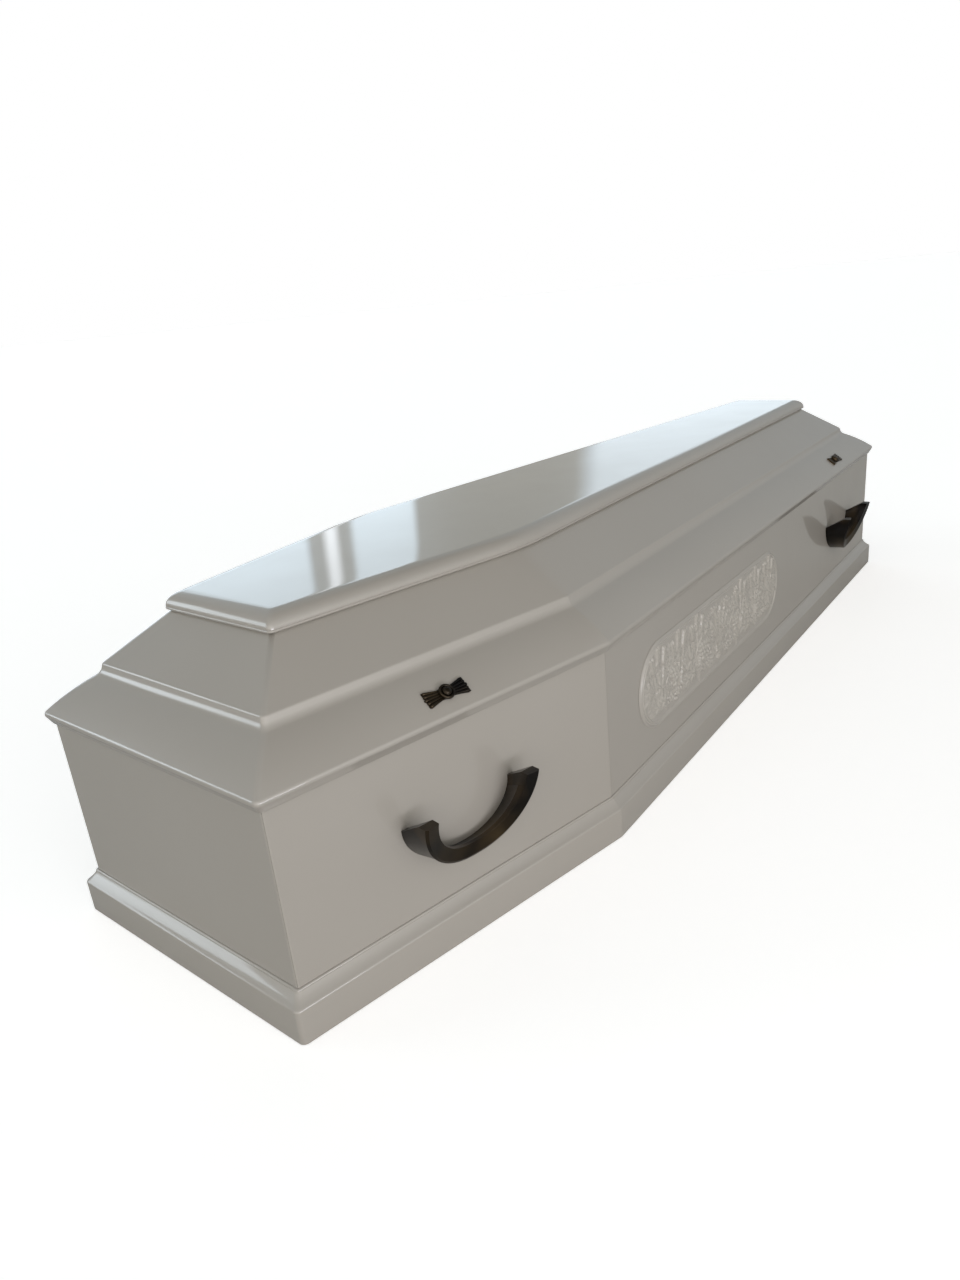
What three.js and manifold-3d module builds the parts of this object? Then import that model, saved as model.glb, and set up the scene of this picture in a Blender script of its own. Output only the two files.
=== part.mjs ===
// A carved coffin: a six-sided box of lacquered boards with a moulded plinth, a lift-off hip lid with a flat
// crown, four cast handles, four lid screws on butterfly plates and a carved oval panel on each long side.
// Millimetres, +Z up. X runs along the coffin with the head end at -X, the right-hand side faces -Y.
// The origin is on the floor under the middle of the box.
import * as THREE from 'three';
import * as BufferGeometryUtils from 'three/addons/utils/BufferGeometryUtils.js';
import Module from 'manifold-3d';

const wasm = await Module();
wasm.setup();

// Plan of the box, measured on the outer faces of its boards
const bodyLength = 1950;
const headWidth = 430;
const shoulderWidth = 610;
const footWidth = 420;
const shoulderFromHead = 520;

// Box
const bottomThickness = 18;
const wallThickness = 20;
const boxHeight = 293;
const wallCornerRadius = 3;

// Joints: mitreGap parts two boards at a mitre, glueGap parts a fitting or strip from the face it is fixed to
const mitreGap = 0.4;
const glueGap = 0.3;

// Plinth strips round the foot of the box
const plinthHeight = 64.5;
const plinthFasciaHeight = 46;
const plinthThickness = 16.2;
const plinthToeRadius = 3;
const plinthArrisRadius = 4;
const plinthBeadSize = 2.6;
const plinthBeadLedge = 0.4;
const plinthSlopeHollow = 0.5;
const plinthCornerRadius = 8;

// Lower moulding of the lid, heights above the joint with the box and insets from the face of the box
const lipOverhang = 9.2;
const lipHeight = 13;
const lipRadius = 6;
const lipFoldAngle = 38;
const lipCrownAngle = 52;
const mouldingRise = 72.5;
const mouldingRun = 58;
const stepRise = 18.5;
const stepLean = 2.5;
const coveRadius = 16;
const coveFootAngle = 242;
const coveTopAngle = 195;
const arrisRadius = 5;
const arrisStart = 12;
const cushionSag = 2.1;
const cushionSteps = 4;
const mouldingThickness = 18;
const mouldingCornerRadius = 8;
const ledgeMargin = 2;

// Sloping panels of the lid
const slopeRise = 58.5;
const slopeRun = 77.3;
const panelThickness = 16;
const panelCornerRadius = 8;
const panelShoulderRadiusLow = 90;
const panelShoulderRadiusHigh = 520;

// Crown board on top of the lid
const crownThickness = 22;
const crownLip = 7.5;
const crownBeadRadius = 2;
const crownBeadTurn = 150;
const crownQuirk = 0.6;
const crownEdgeRun = 26;
const crownEdgeRise = 18;
const crownCornerRadius = 7;

// Handles, one near each end of each long side. The back rail lies on the board, the front rail stands out.
const handleFromHead = 253;
const handleFromShoulder = 1164;
const handleTopHeight = 188;
const handleHalfWidth = 90;
const handleBackDrop = 66;
const handleBackThickness = 10;
const handleStandout = 53;
const handleHornRise = 22;
const handleFrontDrop = 88;
const handleFrontThickness = 20;
const handleBarDepth = 26;
const handleBarBackHeight = 9;
const handleBarFrontHeight = 18;
const handleEdgeBevel = 3;
const handleLedgeDepth = 4;
const handleTipDepth = 38;
const handleHornShape = 0.8;
const handleFullness = 2.05;

// Screws that hold the lid, each in the ring of a butterfly plate over a handle
const plateFromHead = 260;
const plateFromShoulder = 1166;
const plateLength = 62;
const plateEndHeight = 22;
const plateWaistHeight = 15;
const plateThickness = 1.6;
const plateFromLip = 0.37;
const reedCount = 5;
const reedHeight = 3;
const reedWidth = 4.6;
const reedRootShare = 0.44;
const reedInset = 0.3;
const reedRounding = 0.4;
const reedRingGap = 0.3;
const ringRadius = 10.5;
const ringWidth = 3.6;
const ringHeight = 4.4;
const knobRadius = 6;
const knobHeight = 6;
const knobCollarRadius = 4.4;
const knobCollarHeight = 1.6;
const knobSides = 8;

// Carved oval panels on the long boards between shoulder and foot
const reliefFromShoulder = 412;
const reliefHeight = 176;
const reliefLength = 630;
const reliefWidth = 143;
const reliefGround = 2.4;
const reliefSink = 0.5;
const reliefRimWidth = 4.4;
const reliefRimHeight = 2;
const reliefLineInset = 8.6;
const reliefLineWidth = 2.8;
const reliefLineHeight = 1.4;
const vineWaves = 2;
const vineSwing = 21;
const vineStart = 46;
const vineEndMargin = 30;
const vineDrop = 4;
const vineWidth = 6;
const vineTaper = 0.45;
const vineHeight = 3;
const vineSteps = 12;
const leafLength = 40;
const leafWidth = 36;
const leafHeight = 4.4;
const berryRadius = 6.2;
const berryHeight = 4.2;
const berryCrown = 0.6;
const bunchRows = 3;
const bunchDrop = 17;
const bunchSpread = 1.75;
const bunchPitch = 1.6;
const sheafEars = 5;
const sheafSpread = 0.3;
const sheafBandDrop = 29;
const sheafBandLength = 32;
const sheafBandWidth = 8;
const sheafBandHeight = 4;
const sheafFootLength = 23;
const earStart = 34;
const earStartStep = 3;
const earGrainPairs = 2;
const earPitch = 9.3;
const grainLength = 15;
const grainWidth = 7;
const grainHeight = 4.2;
const grainLean = 0.42;
const stalkWidth = 4;
const stalkHeight = 2.6;

// Smoothness of arcs
const cornerSteps = 2;
const shoulderSteps = 8;
const profileSteps = 4;
const handleSteps = 18;
const ringSides = 8;
const ovalSteps = 8;

// Finishes
const lacquer = { color: 0xa9a297, roughness: 0.16, metalness: 0 };
const bronze = { color: 0x33291f, roughness: 0.42, metalness: 0.8 };

// Plan geometry: corners of the box counterclockwise from above, and the edge that leaves each of them
const boxCorners = [
  new THREE.Vector2(-bodyLength / 2, headWidth / 2),
  new THREE.Vector2(-bodyLength / 2, -headWidth / 2),
  new THREE.Vector2(-bodyLength / 2 + shoulderFromHead, -shoulderWidth / 2),
  new THREE.Vector2(bodyLength / 2, -footWidth / 2),
  new THREE.Vector2(bodyLength / 2, footWidth / 2),
  new THREE.Vector2(-bodyLength / 2 + shoulderFromHead, shoulderWidth / 2),
];
const edgeNames = ['head', 'right_head', 'right_foot', 'foot', 'left_foot', 'left_head'];
const edges = boxCorners.map((start, index) => {
  const end = boxCorners[(index + 1) % boxCorners.length];
  const along = end.clone().sub(start);
  const length = along.length();
  along.normalize();
  return { start, along, length, outward: new THREE.Vector2(along.y, -along.x) };
});
const edgeCount = edges.length;
const edgeAt = (index) => edges[(index + edgeCount) % edgeCount];

// Corner of the outline that lies a given distance outside the box
function offsetCorner(index, offset) {
  const before = edgeAt(index - 1);
  const after = edgeAt(index);
  const p = before.start.clone().addScaledVector(before.outward, offset);
  const q = after.start.clone().addScaledVector(after.outward, offset);
  const gap = q.clone().sub(p);
  const reach = gap.cross(after.along) / before.along.cross(after.along);
  return p.addScaledVector(before.along, reach);
}

// Arc that rounds an offset corner, from the edge before it to the edge after it
function cornerArc(index, offset, radius, steps) {
  const corner = offsetCorner(index, offset);
  const before = edgeAt(index - 1);
  const after = edgeAt(index);
  const turn = Math.acos(THREE.MathUtils.clamp(before.along.dot(after.along), -1, 1));
  const setback = radius * Math.tan(turn / 2);
  const centre = corner.clone()
    .addScaledVector(before.along, -setback)
    .addScaledVector(before.outward, -radius);
  const firstAngle = Math.atan2(before.outward.y, before.outward.x);
  const points = [];
  for (let step = 0; step <= steps; step += 1) {
    const angle = firstAngle + (turn * step) / steps;
    points.push(new THREE.Vector2(centre.x + radius * Math.cos(angle), centre.y + radius * Math.sin(angle)));
  }
  return points;
}

// Path of one profile point along one edge of the plan, from mitre to mitre
function edgePath(index, offset, radius) {
  const half = cornerSteps / 2;
  const from = cornerArc(index, offset, radius, cornerSteps).slice(half);
  const to = cornerArc(index + 1, offset, radius, cornerSteps).slice(0, half + 1);
  const along = edgeAt(index).along;
  from[0].addScaledVector(along, mitreGap / 2);
  to[to.length - 1].addScaledVector(along, -mitreGap / 2);
  return [...from, ...to];
}

// Path along two edges in one piece, with a wide soft bend at the shoulder between them
function bentPath(index, offset, radius, bendRadius) {
  const half = cornerSteps / 2;
  const from = cornerArc(index, offset, radius, cornerSteps).slice(half);
  const bend = cornerArc(index + 1, offset, bendRadius, shoulderSteps);
  const to = cornerArc(index + 2, offset, radius, cornerSteps).slice(0, half + 1);
  from[0].addScaledVector(edgeAt(index).along, mitreGap / 2);
  to[to.length - 1].addScaledVector(edgeAt(index + 1).along, -mitreGap / 2);
  return [...from, ...bend, ...to];
}

// Closed body from points and triangles, turned so that its faces point out
function closedBody(points, triangles) {
  let volume = 0;
  for (const [a, b, c] of triangles) volume += points[a].dot(points[b].clone().cross(points[c]));
  const faces = volume < 0 ? triangles.map(([a, b, c]) => [a, c, b]) : triangles;
  const geometry = new THREE.BufferGeometry();
  const positions = points.flatMap((p) => [p.x, p.y, p.z]);
  geometry.setAttribute('position', new THREE.Float32BufferAttribute(positions, 3));
  geometry.setIndex(faces.flat());
  return geometry;
}

// Joins rings of equal length into a skin; the first and last ring are closed by caps of the given triangles
function skin(rings, capTriangles) {
  const size = rings[0].length;
  const triangles = [];
  for (let ring = 0; ring + 1 < rings.length; ring += 1) {
    for (let i = 0; i < size; i += 1) {
      const next = (i + 1) % size;
      const a = ring * size + i;
      const b = ring * size + next;
      triangles.push([a, b, b + size], [a, b + size, a + size]);
    }
  }
  const last = (rings.length - 1) * size;
  for (const [a, b, c] of capTriangles) triangles.push([a, c, b], [last + a, last + b, last + c]);
  return closedBody(rings.flat(), triangles);
}

// Profile swept along the paths of its points; a profile point is { o, z, ... }, o its distance outside the box
function sweep(profile, pathOf) {
  const paths = profile.map(pathOf);
  const rings = paths[0].map((_, station) => profile.map((point, i) => {
    const place = paths[i][station];
    return new THREE.Vector3(place.x, place.y, point.z);
  }));
  const contour = profile.map((point) => new THREE.Vector2(point.o, point.z));
  return skin(rings, THREE.ShapeUtils.triangulateShape(contour, []));
}

// Arc in a profile, angles in degrees, 0 outward and 90 up
function profileArc(o, z, radiusO, radiusZ, fromAngle, toAngle, steps) {
  const points = [];
  for (let step = 0; step <= steps; step += 1) {
    const angle = THREE.MathUtils.degToRad(fromAngle + ((toAngle - fromAngle) * step) / steps);
    points.push({ o: o + radiusO * Math.cos(angle), z: z + radiusZ * Math.sin(angle) });
  }
  return points;
}

// Box boards
function boardGeometry(index) {
  const profile = [
    { o: 0, z: bottomThickness },
    { o: 0, z: boxHeight },
    { o: -wallThickness, z: boxHeight },
    { o: -wallThickness, z: bottomThickness },
  ];
  return sweep(profile, (point) => edgePath(index, point.o, wallCornerRadius));
}

function bottomGeometry() {
  const outline = boxCorners.flatMap((_, index) => cornerArc(index, 0, wallCornerRadius, cornerSteps));
  const rings = [0, bottomThickness].map((z) => outline.map((p) => new THREE.Vector3(p.x, p.y, z)));
  return skin(rings, THREE.ShapeUtils.triangulateShape(outline, []));
}

// Plinth strip: rounded toe, upright fascia, arris, slope back to the board and a small bead at the top
function plinthProfile() {
  const toe = profileArc(
    plinthThickness - plinthToeRadius, plinthToeRadius, plinthToeRadius, plinthToeRadius, -90, 0, 2);
  const arris = profileArc(
    plinthThickness - plinthArrisRadius, plinthFasciaHeight, plinthArrisRadius, plinthArrisRadius, 0, 45, 2);
  const beadFoot = { o: glueGap + plinthBeadSize + plinthBeadLedge, z: plinthHeight - plinthBeadSize };
  const slopeStart = arris[arris.length - 1];
  const hollow = {
    o: (slopeStart.o + beadFoot.o) / 2 - plinthSlopeHollow,
    z: (slopeStart.z + beadFoot.z) / 2 - plinthSlopeHollow,
  };
  const bead = profileArc(glueGap, plinthHeight - plinthBeadSize, plinthBeadSize, plinthBeadSize, 0, 90, 2);
  const rounded = (points, radius) => points.map((point) => ({ ...point, radius }));
  const shown = rounded([...toe, ...arris, hollow, beadFoot], plinthCornerRadius);
  const back = rounded([...bead, { o: glueGap, z: 0 }], wallCornerRadius);
  return [...shown, ...back];
}

// Cushion of the lid moulding: a shallow convex curve from the lip up to the cove, as a quadratic curve
const lipCrown = THREE.MathUtils.degToRad(lipCrownAngle);
const lipTop = {
  o: lipOverhang - lipRadius + lipRadius * Math.cos(lipCrown),
  z: boxHeight + lipHeight + lipRadius * Math.sin(lipCrown),
};
const coveCentre = {
  o: stepLean + coveRadius - mouldingRun,
  z: boxHeight + mouldingRise - stepRise + coveRadius,
};
const coveFootTurn = THREE.MathUtils.degToRad(coveFootAngle);
const coveFoot = {
  o: coveCentre.o + coveRadius * Math.cos(coveFootTurn),
  z: coveCentre.z + coveRadius * Math.sin(coveFootTurn),
};
const cushionPull = 2 * cushionSag;
const cushionChord = new THREE.Vector2(coveFoot.o - lipTop.o, coveFoot.z - lipTop.z);
const cushionNormal = new THREE.Vector2(cushionChord.y, -cushionChord.x).normalize();
const cushionControl = {
  o: (lipTop.o + coveFoot.o) / 2 + cushionNormal.x * cushionPull,
  z: (lipTop.z + coveFoot.z) / 2 + cushionNormal.y * cushionPull,
};
function cushionPoint(t) {
  const a = (1 - t) * (1 - t);
  const b = 2 * t * (1 - t);
  const c = t * t;
  return {
    o: a * lipTop.o + b * cushionControl.o + c * coveFoot.o,
    z: a * lipTop.z + b * cushionControl.z + c * coveFoot.z,
  };
}

const slopeAngle = Math.atan2(slopeRise, slopeRun);
const panelFoot = panelThickness / Math.sin(slopeAngle);

// Lid moulding: lip over the box, cushion, cove, step and arris, with a ledge for the sloping panel
function mouldingProfile() {
  const ledgeHeight = boxHeight + mouldingRise;
  const ledgeInner = -(mouldingRun + panelFoot + ledgeMargin);
  const lipCentre = { o: lipOverhang - lipRadius, z: boxHeight + lipHeight };
  const underside = { o: lipCentre.o, z: boxHeight };
  const lip = profileArc(
    lipCentre.o, lipCentre.z, lipRadius, lipRadius, -lipFoldAngle, lipCrownAngle, profileSteps);
  const cushion = Array.from({ length: cushionSteps - 1 }, (_, i) => cushionPoint((i + 1) / cushionSteps));
  const cove = profileArc(
    coveCentre.o, coveCentre.z, coveRadius, coveRadius, coveFootAngle, coveTopAngle, 3);
  const arrisTop = { o: -mouldingRun, z: ledgeHeight };
  const arrisCentre = {
    o: arrisTop.o - arrisRadius * Math.sin(slopeAngle),
    z: arrisTop.z - arrisRadius * Math.cos(slopeAngle),
  };
  const upright = THREE.MathUtils.radToDeg(Math.PI / 2 - slopeAngle);
  const arris = profileArc(arrisCentre.o, arrisCentre.z, arrisRadius, arrisRadius, arrisStart, upright, 3);
  const backDrop = mouldingThickness / cushionNormal.y;
  const backSlope = cushionChord.y / cushionChord.x;
  const backAt = (o) => lipTop.z + (o - lipTop.o) * backSlope - backDrop;
  return [
    { o: -wallThickness, z: boxHeight },
    underside,
    ...lip,
    ...cushion,
    ...cove,
    ...arris,
    { o: ledgeInner, z: ledgeHeight },
    { o: ledgeInner, z: backAt(ledgeInner) },
    { o: -wallThickness, z: backAt(-wallThickness) },
  ];
}

// Sloping panel: one flat board at each end, and along each side one board that bends softly at the shoulder
function slopeProfile() {
  const low = boxHeight + mouldingRise;
  const high = low + slopeRise;
  const bendLow = panelShoulderRadiusLow;
  const bendHigh = panelShoulderRadiusHigh;
  return [
    { o: -mouldingRun, z: low, bend: bendLow },
    { o: -mouldingRun - slopeRun, z: high, bend: bendHigh },
    { o: -mouldingRun - slopeRun - panelFoot, z: high, bend: bendHigh },
    { o: -mouldingRun - panelFoot, z: low, bend: bendLow },
  ];
}

// Crown board: a thin bead at the lower edge, then one long quarter round up to the flat top
function crownProfile() {
  const low = boxHeight + mouldingRise + slopeRise;
  const edge = -mouldingRun - slopeRun + crownLip;
  const bead = crownBeadRadius;
  const roundStart = low + crownThickness - crownEdgeRise;
  return [
    ...profileArc(edge - bead, low + bead, bead, bead, -90, crownBeadTurn - 90, 2),
    ...profileArc(edge - crownQuirk - crownEdgeRun, roundStart, crownEdgeRun, crownEdgeRise, 0, 90, 4),
  ];
}

function crownGeometry() {
  const rings = crownProfile().map((point) => {
    const outline = boxCorners.flatMap((_, index) => {
      const isShoulder = index % 3 === 2;
      const radius = isShoulder ? panelShoulderRadiusHigh : crownCornerRadius;
      return cornerArc(index, point.o, radius, isShoulder ? shoulderSteps : cornerSteps);
    });
    return outline.map((p) => new THREE.Vector3(p.x, p.y, point.z));
  });
  const contour = rings[0].map((p) => new THREE.Vector2(p.x, p.y));
  return skin(rings, THREE.ShapeUtils.triangulateShape(contour, []));
}

// Fittings are drawn on a board that faces -Y: x along the board, z up, and -y out of it

// Lower half of a full oval, from the left end round the bottom to the right end
function hangingCurve(angle, halfWidth, drop) {
  const power = 2 / handleFullness;
  const side = Math.sign(Math.cos(angle)) * Math.abs(Math.cos(angle)) ** power;
  return { x: -halfWidth * side, fall: drop * Math.abs(Math.sin(angle)) ** power };
}

// Handle: a hanging crescent whose two horns rise away from the board, with a bevel round the front rim
function handleGeometry() {
  const backInner = handleHalfWidth - handleBackThickness;
  const frontInner = handleHalfWidth - handleFrontThickness;
  const backInnerDrop = handleBackDrop - handleBarBackHeight;
  const frontInnerDrop = handleFrontDrop - handleBarFrontHeight;
  const ledgeShare = handleLedgeDepth / handleStandout;
  const tipShare = handleTipDepth / handleStandout;
  const rimShare = 1 - handleEdgeBevel / handleStandout;
  const rings = [];
  for (let station = 0; station <= handleSteps; station += 1) {
    const angle = (Math.PI * station) / handleSteps;
    const horn = (1 - Math.sin(angle)) ** handleHornShape;
    const depth = handleBarDepth + (handleStandout - handleBarDepth) * horn;
    const rail = (halfWidth, drop, share, rise) => {
      const at = hangingCurve(angle, halfWidth, drop);
      return new THREE.Vector3(at.x, -depth * share, rise - at.fall);
    };
    rings.push([
      rail(handleHalfWidth, handleBackDrop, 0, 0),
      rail(handleHalfWidth, handleBackDrop, ledgeShare, 0),
      rail(handleHalfWidth, handleFrontDrop, tipShare, handleHornRise),
      rail(handleHalfWidth, handleFrontDrop, rimShare, handleHornRise),
      rail(handleHalfWidth - handleEdgeBevel, handleFrontDrop - handleEdgeBevel, 1, handleHornRise),
      rail(frontInner, frontInnerDrop, rimShare, handleHornRise),
      rail(frontInner, frontInnerDrop, tipShare, handleHornRise),
      rail(backInner, backInnerDrop, ledgeShare, 0),
      rail(backInner, backInnerDrop, 0, 0),
    ]);
  }
  const cap = [[0, 1, 7], [0, 7, 8], [1, 2, 6], [1, 6, 7], [2, 3, 5], [2, 5, 6], [3, 4, 5]];
  return skin(rings, cap);
}

// Solids for carving: each is a closed body that can be fused with others
function toSolid(geometry) {
  const bare = geometry.clone();
  bare.deleteAttribute('normal');
  bare.deleteAttribute('uv');
  const merged = BufferGeometryUtils.mergeVertices(bare, 1e-4);
  return new wasm.Manifold(new wasm.Mesh({
    numProp: 3,
    vertProperties: new Float32Array(merged.attributes.position.array),
    triVerts: new Uint32Array(merged.index.array),
  }));
}

function fromSolid(solid) {
  const mesh = solid.getMesh();
  const geometry = new THREE.BufferGeometry();
  geometry.setAttribute('position', new THREE.Float32BufferAttribute(mesh.vertProperties, 3));
  geometry.setIndex(Array.from(mesh.triVerts));
  return geometry;
}

function fuse(geometries) {
  return fromSolid(geometries.map(toSolid).reduce((whole, piece) => whole.add(piece)));
}

// Outline with thickness, from y = back to y = front (front is the more negative)
function slab(outline, back, front) {
  const rings = [back, front].map((y) => outline.map((p) => new THREE.Vector3(p.x, y, p.y)));
  return skin(rings, THREE.ShapeUtils.triangulateShape(outline, []));
}

// Raised ring that follows a closed outline, with a crest between its two edges
function raisedRing(outlineAt, width, ground, height) {
  const outer = outlineAt(0);
  const crest = outlineAt(width / 2);
  const inner = outlineAt(width);
  const count = outer.length;
  const lines = [[outer, ground], [crest, height], [inner, ground]];
  const points = lines.flatMap(([line, level]) => line.map((p) => new THREE.Vector3(p.x, -level, p.y)));
  const triangles = [];
  for (let line = 0; line < lines.length; line += 1) {
    const above = (line + 1) % lines.length;
    for (let i = 0; i < count; i += 1) {
      const next = (i + 1) % count;
      const a = line * count + i;
      const b = line * count + next;
      const c = above * count + next;
      const d = above * count + i;
      triangles.push([a, b, c], [a, c, d]);
    }
  }
  return closedBody(points, triangles);
}

// Strip with a crest along a line of points, each { x, z, width, height }
function ridge(line, ground) {
  const rings = line.map((point, i) => {
    const before = line[Math.max(i - 1, 0)];
    const after = line[Math.min(i + 1, line.length - 1)];
    const across = new THREE.Vector2(-(after.z - before.z), after.x - before.x);
    across.normalize().multiplyScalar(point.width / 2);
    return [
      new THREE.Vector3(point.x - across.x, -ground, point.z - across.y),
      new THREE.Vector3(point.x, -ground - point.height, point.z),
      new THREE.Vector3(point.x + across.x, -ground, point.z + across.y),
    ];
  });
  return skin(rings, [[0, 1, 2]]);
}

// Low body with a crest line over an outline: a leaf, a grain or a berry
function tent(outline, crest, ground, height) {
  const rim = outline.map((p) => new THREE.Vector3(p.x, -ground, p.y));
  const top = crest.map((p) => new THREE.Vector3(p.x, -ground - height, p.y));
  const count = rim.length;
  const points = [...rim, ...top];
  const nearest = rim.map((p) => {
    const distances = top.map((q) => (p.x - q.x) ** 2 + (p.z - q.z) ** 2);
    return distances.indexOf(Math.min(...distances));
  });
  const triangles = THREE.ShapeUtils.triangulateShape(outline, []).map(([a, b, c]) => [a, c, b]);
  for (let i = 0; i < count; i += 1) {
    const next = (i + 1) % count;
    triangles.push([i, next, count + nearest[i]]);
    if (nearest[i] !== nearest[next]) triangles.push([next, count + nearest[next], count + nearest[i]]);
  }
  return closedBody(points, triangles);
}

function turned(points, angle, x, z) {
  const cos = Math.cos(angle);
  const sin = Math.sin(angle);
  return points.map(([u, v]) => new THREE.Vector2(x + u * cos - v * sin, z + u * sin + v * cos));
}

// Butterfly plate: a thin base, a fan of reeds on each side and a ring round the screw
function plateGeometry() {
  const half = plateLength / 2;
  const endHalf = plateEndHeight / 2;
  const waistHalf = plateWaistHeight / 2;
  const outline = [
    [-half, -endHalf], [-ringRadius, -waistHalf], [ringRadius, -waistHalf], [half, -endHalf],
    [half, endHalf], [ringRadius, waistHalf], [-ringRadius, waistHalf], [-half, endHalf],
  ].map(([x, z]) => new THREE.Vector2(x, z));
  const pieces = [slab(outline, 0, -plateThickness)];
  const ground = plateThickness / 2;
  const root = ringRadius + reedRingGap;
  for (const side of [-1, 1]) {
    for (let reed = 0; reed < reedCount; reed += 1) {
      const share = (2 * reed) / (reedCount - 1) - 1;
      const tip = half - reedWidth * reedRounding * Math.abs(share);
      const rootRise = share * (waistHalf - reedWidth * reedInset);
      const tipRise = share * (endHalf - reedWidth * reedInset);
      const shape = [[0, reedRootShare], [1, 1]].map(([t, size]) => ({
        x: side * (root + (tip - root) * t),
        z: rootRise + (tipRise - rootRise) * t,
        width: reedWidth * size,
        height: plateThickness / 2 + reedHeight * size,
      }));
      pieces.push(ridge(shape, ground));
    }
  }
  const circle = (radius) => Array.from({ length: ringSides }, (_, i) => {
    const angle = (2 * Math.PI * (i + 0.5)) / ringSides;
    return new THREE.Vector2(radius * Math.cos(angle), radius * Math.sin(angle));
  });
  const ringAt = (inset) => circle(ringRadius - inset);
  pieces.push(raisedRing(ringAt, ringWidth, ground, plateThickness + ringHeight));
  return fuse(pieces);
}

// Screw knob: a domed head on a collar that stands on the plate inside its ring
function knobGeometry() {
  const profile = [
    new THREE.Vector2(0, 0),
    new THREE.Vector2(knobCollarRadius, 0),
    new THREE.Vector2(knobCollarRadius, knobCollarHeight),
    new THREE.Vector2(knobRadius, knobHeight * 0.45),
    new THREE.Vector2(knobRadius * 0.8, knobHeight * 0.85),
    new THREE.Vector2(0, knobHeight),
  ];
  const geometry = new THREE.LatheGeometry(profile, knobSides);
  geometry.rotateX(Math.PI);
  geometry.deleteAttribute('normal');
  geometry.deleteAttribute('uv');
  return BufferGeometryUtils.mergeVertices(geometry, 1e-4);
}

// Oval outline of the carved panel, a given distance inside its edge
function ovalOutline(inset) {
  const radius = reliefWidth / 2 - inset;
  const straight = (reliefLength - reliefWidth) / 2;
  const points = [];
  for (const side of [1, -1]) {
    for (let step = 0; step <= ovalSteps; step += 1) {
      const angle = (Math.PI * step) / ovalSteps - (side * Math.PI) / 2;
      points.push(new THREE.Vector2(side * straight + radius * Math.cos(angle), radius * Math.sin(angle)));
    }
  }
  return points;
}

// Motifs start a little below the ground of the panel, so that each grows out of it
const motifBase = reliefGround - reliefSink;

function leaf(x, z, angle, size) {
  const length = leafLength * size;
  const width = leafWidth * size;
  const outline = [
    [0, 0], [0.28, -0.5], [0.42, -0.22], [0.7, -0.32], [1, 0], [0.7, 0.32], [0.42, 0.22], [0.28, 0.5],
  ].map(([u, v]) => [u * length, v * width]);
  const crest = [[0.24, 0], [0.72, 0]].map(([u, v]) => [u * length, v * width]);
  return tent(turned(outline, angle, x, z), turned(crest, angle, x, z), motifBase, leafHeight * size);
}

function berry(x, z) {
  const sides = 4;
  const ring = (radius, level) => {
    const corners = Array.from({ length: sides }, (_, i) => {
      const angle = (2 * Math.PI * i) / sides + x;
      return [radius * Math.cos(angle), radius * Math.sin(angle)];
    });
    return turned(corners, 0, x, z).map((p) => new THREE.Vector3(p.x, -level, p.y));
  };
  const rings = [ring(berryRadius, motifBase), ring(berryRadius * berryCrown, reliefGround + berryHeight)];
  return skin(rings, [[0, 1, 2], [0, 2, 3]]);
}

// Bunch of berries in rows that narrow downward
function bunch(x, z) {
  const pieces = [];
  for (let row = 0; row < bunchRows; row += 1) {
    const count = bunchRows - row;
    for (let i = 0; i < count; i += 1) {
      const aside = (i - (count - 1) / 2) * berryRadius * bunchSpread;
      pieces.push(berry(x + aside, z - row * berryRadius * bunchPitch));
    }
  }
  return pieces;
}

function grain(x, z, angle) {
  const outline = [[0, 0], [0.5, -0.5], [1, 0], [0.5, 0.5]]
    .map(([u, v]) => [u * grainLength, v * grainWidth]);
  const crest = [[grainLength / 2, 0]];
  return tent(turned(outline, angle, x, z), turned(crest, angle, x, z), motifBase, grainHeight);
}

// Sheaf of wheat in the middle of the panel, bound with a band
function sheaf() {
  const pieces = [];
  for (let ear = 0; ear < sheafEars; ear += 1) {
    const share = ear - (sheafEars - 1) / 2;
    const lean = share * sheafSpread;
    const along = (distance) => ({
      x: Math.sin(lean) * distance,
      z: Math.cos(lean) * distance - sheafBandDrop,
    });
    const start = earStart - earStartStep * Math.abs(share);
    pieces.push(ridge([
      { ...along(-sheafFootLength), width: stalkWidth, height: stalkHeight },
      { ...along(start), width: stalkWidth, height: stalkHeight },
    ], motifBase));
    for (let pair = 0; pair < earGrainPairs; pair += 1) {
      const place = along(start + pair * earPitch);
      for (const side of [-1, 1]) {
        pieces.push(grain(place.x, place.z, Math.PI / 2 - lean + side * grainLean));
      }
    }
    const tip = along(start + earGrainPairs * earPitch);
    pieces.push(grain(tip.x, tip.z, Math.PI / 2 - lean));
  }
  pieces.push(ridge([-1, 1].map((side) => (
    { x: (side * sheafBandLength) / 2, z: -sheafBandDrop, width: sheafBandWidth, height: sheafBandHeight }
  )), motifBase));
  return pieces;
}

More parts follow.
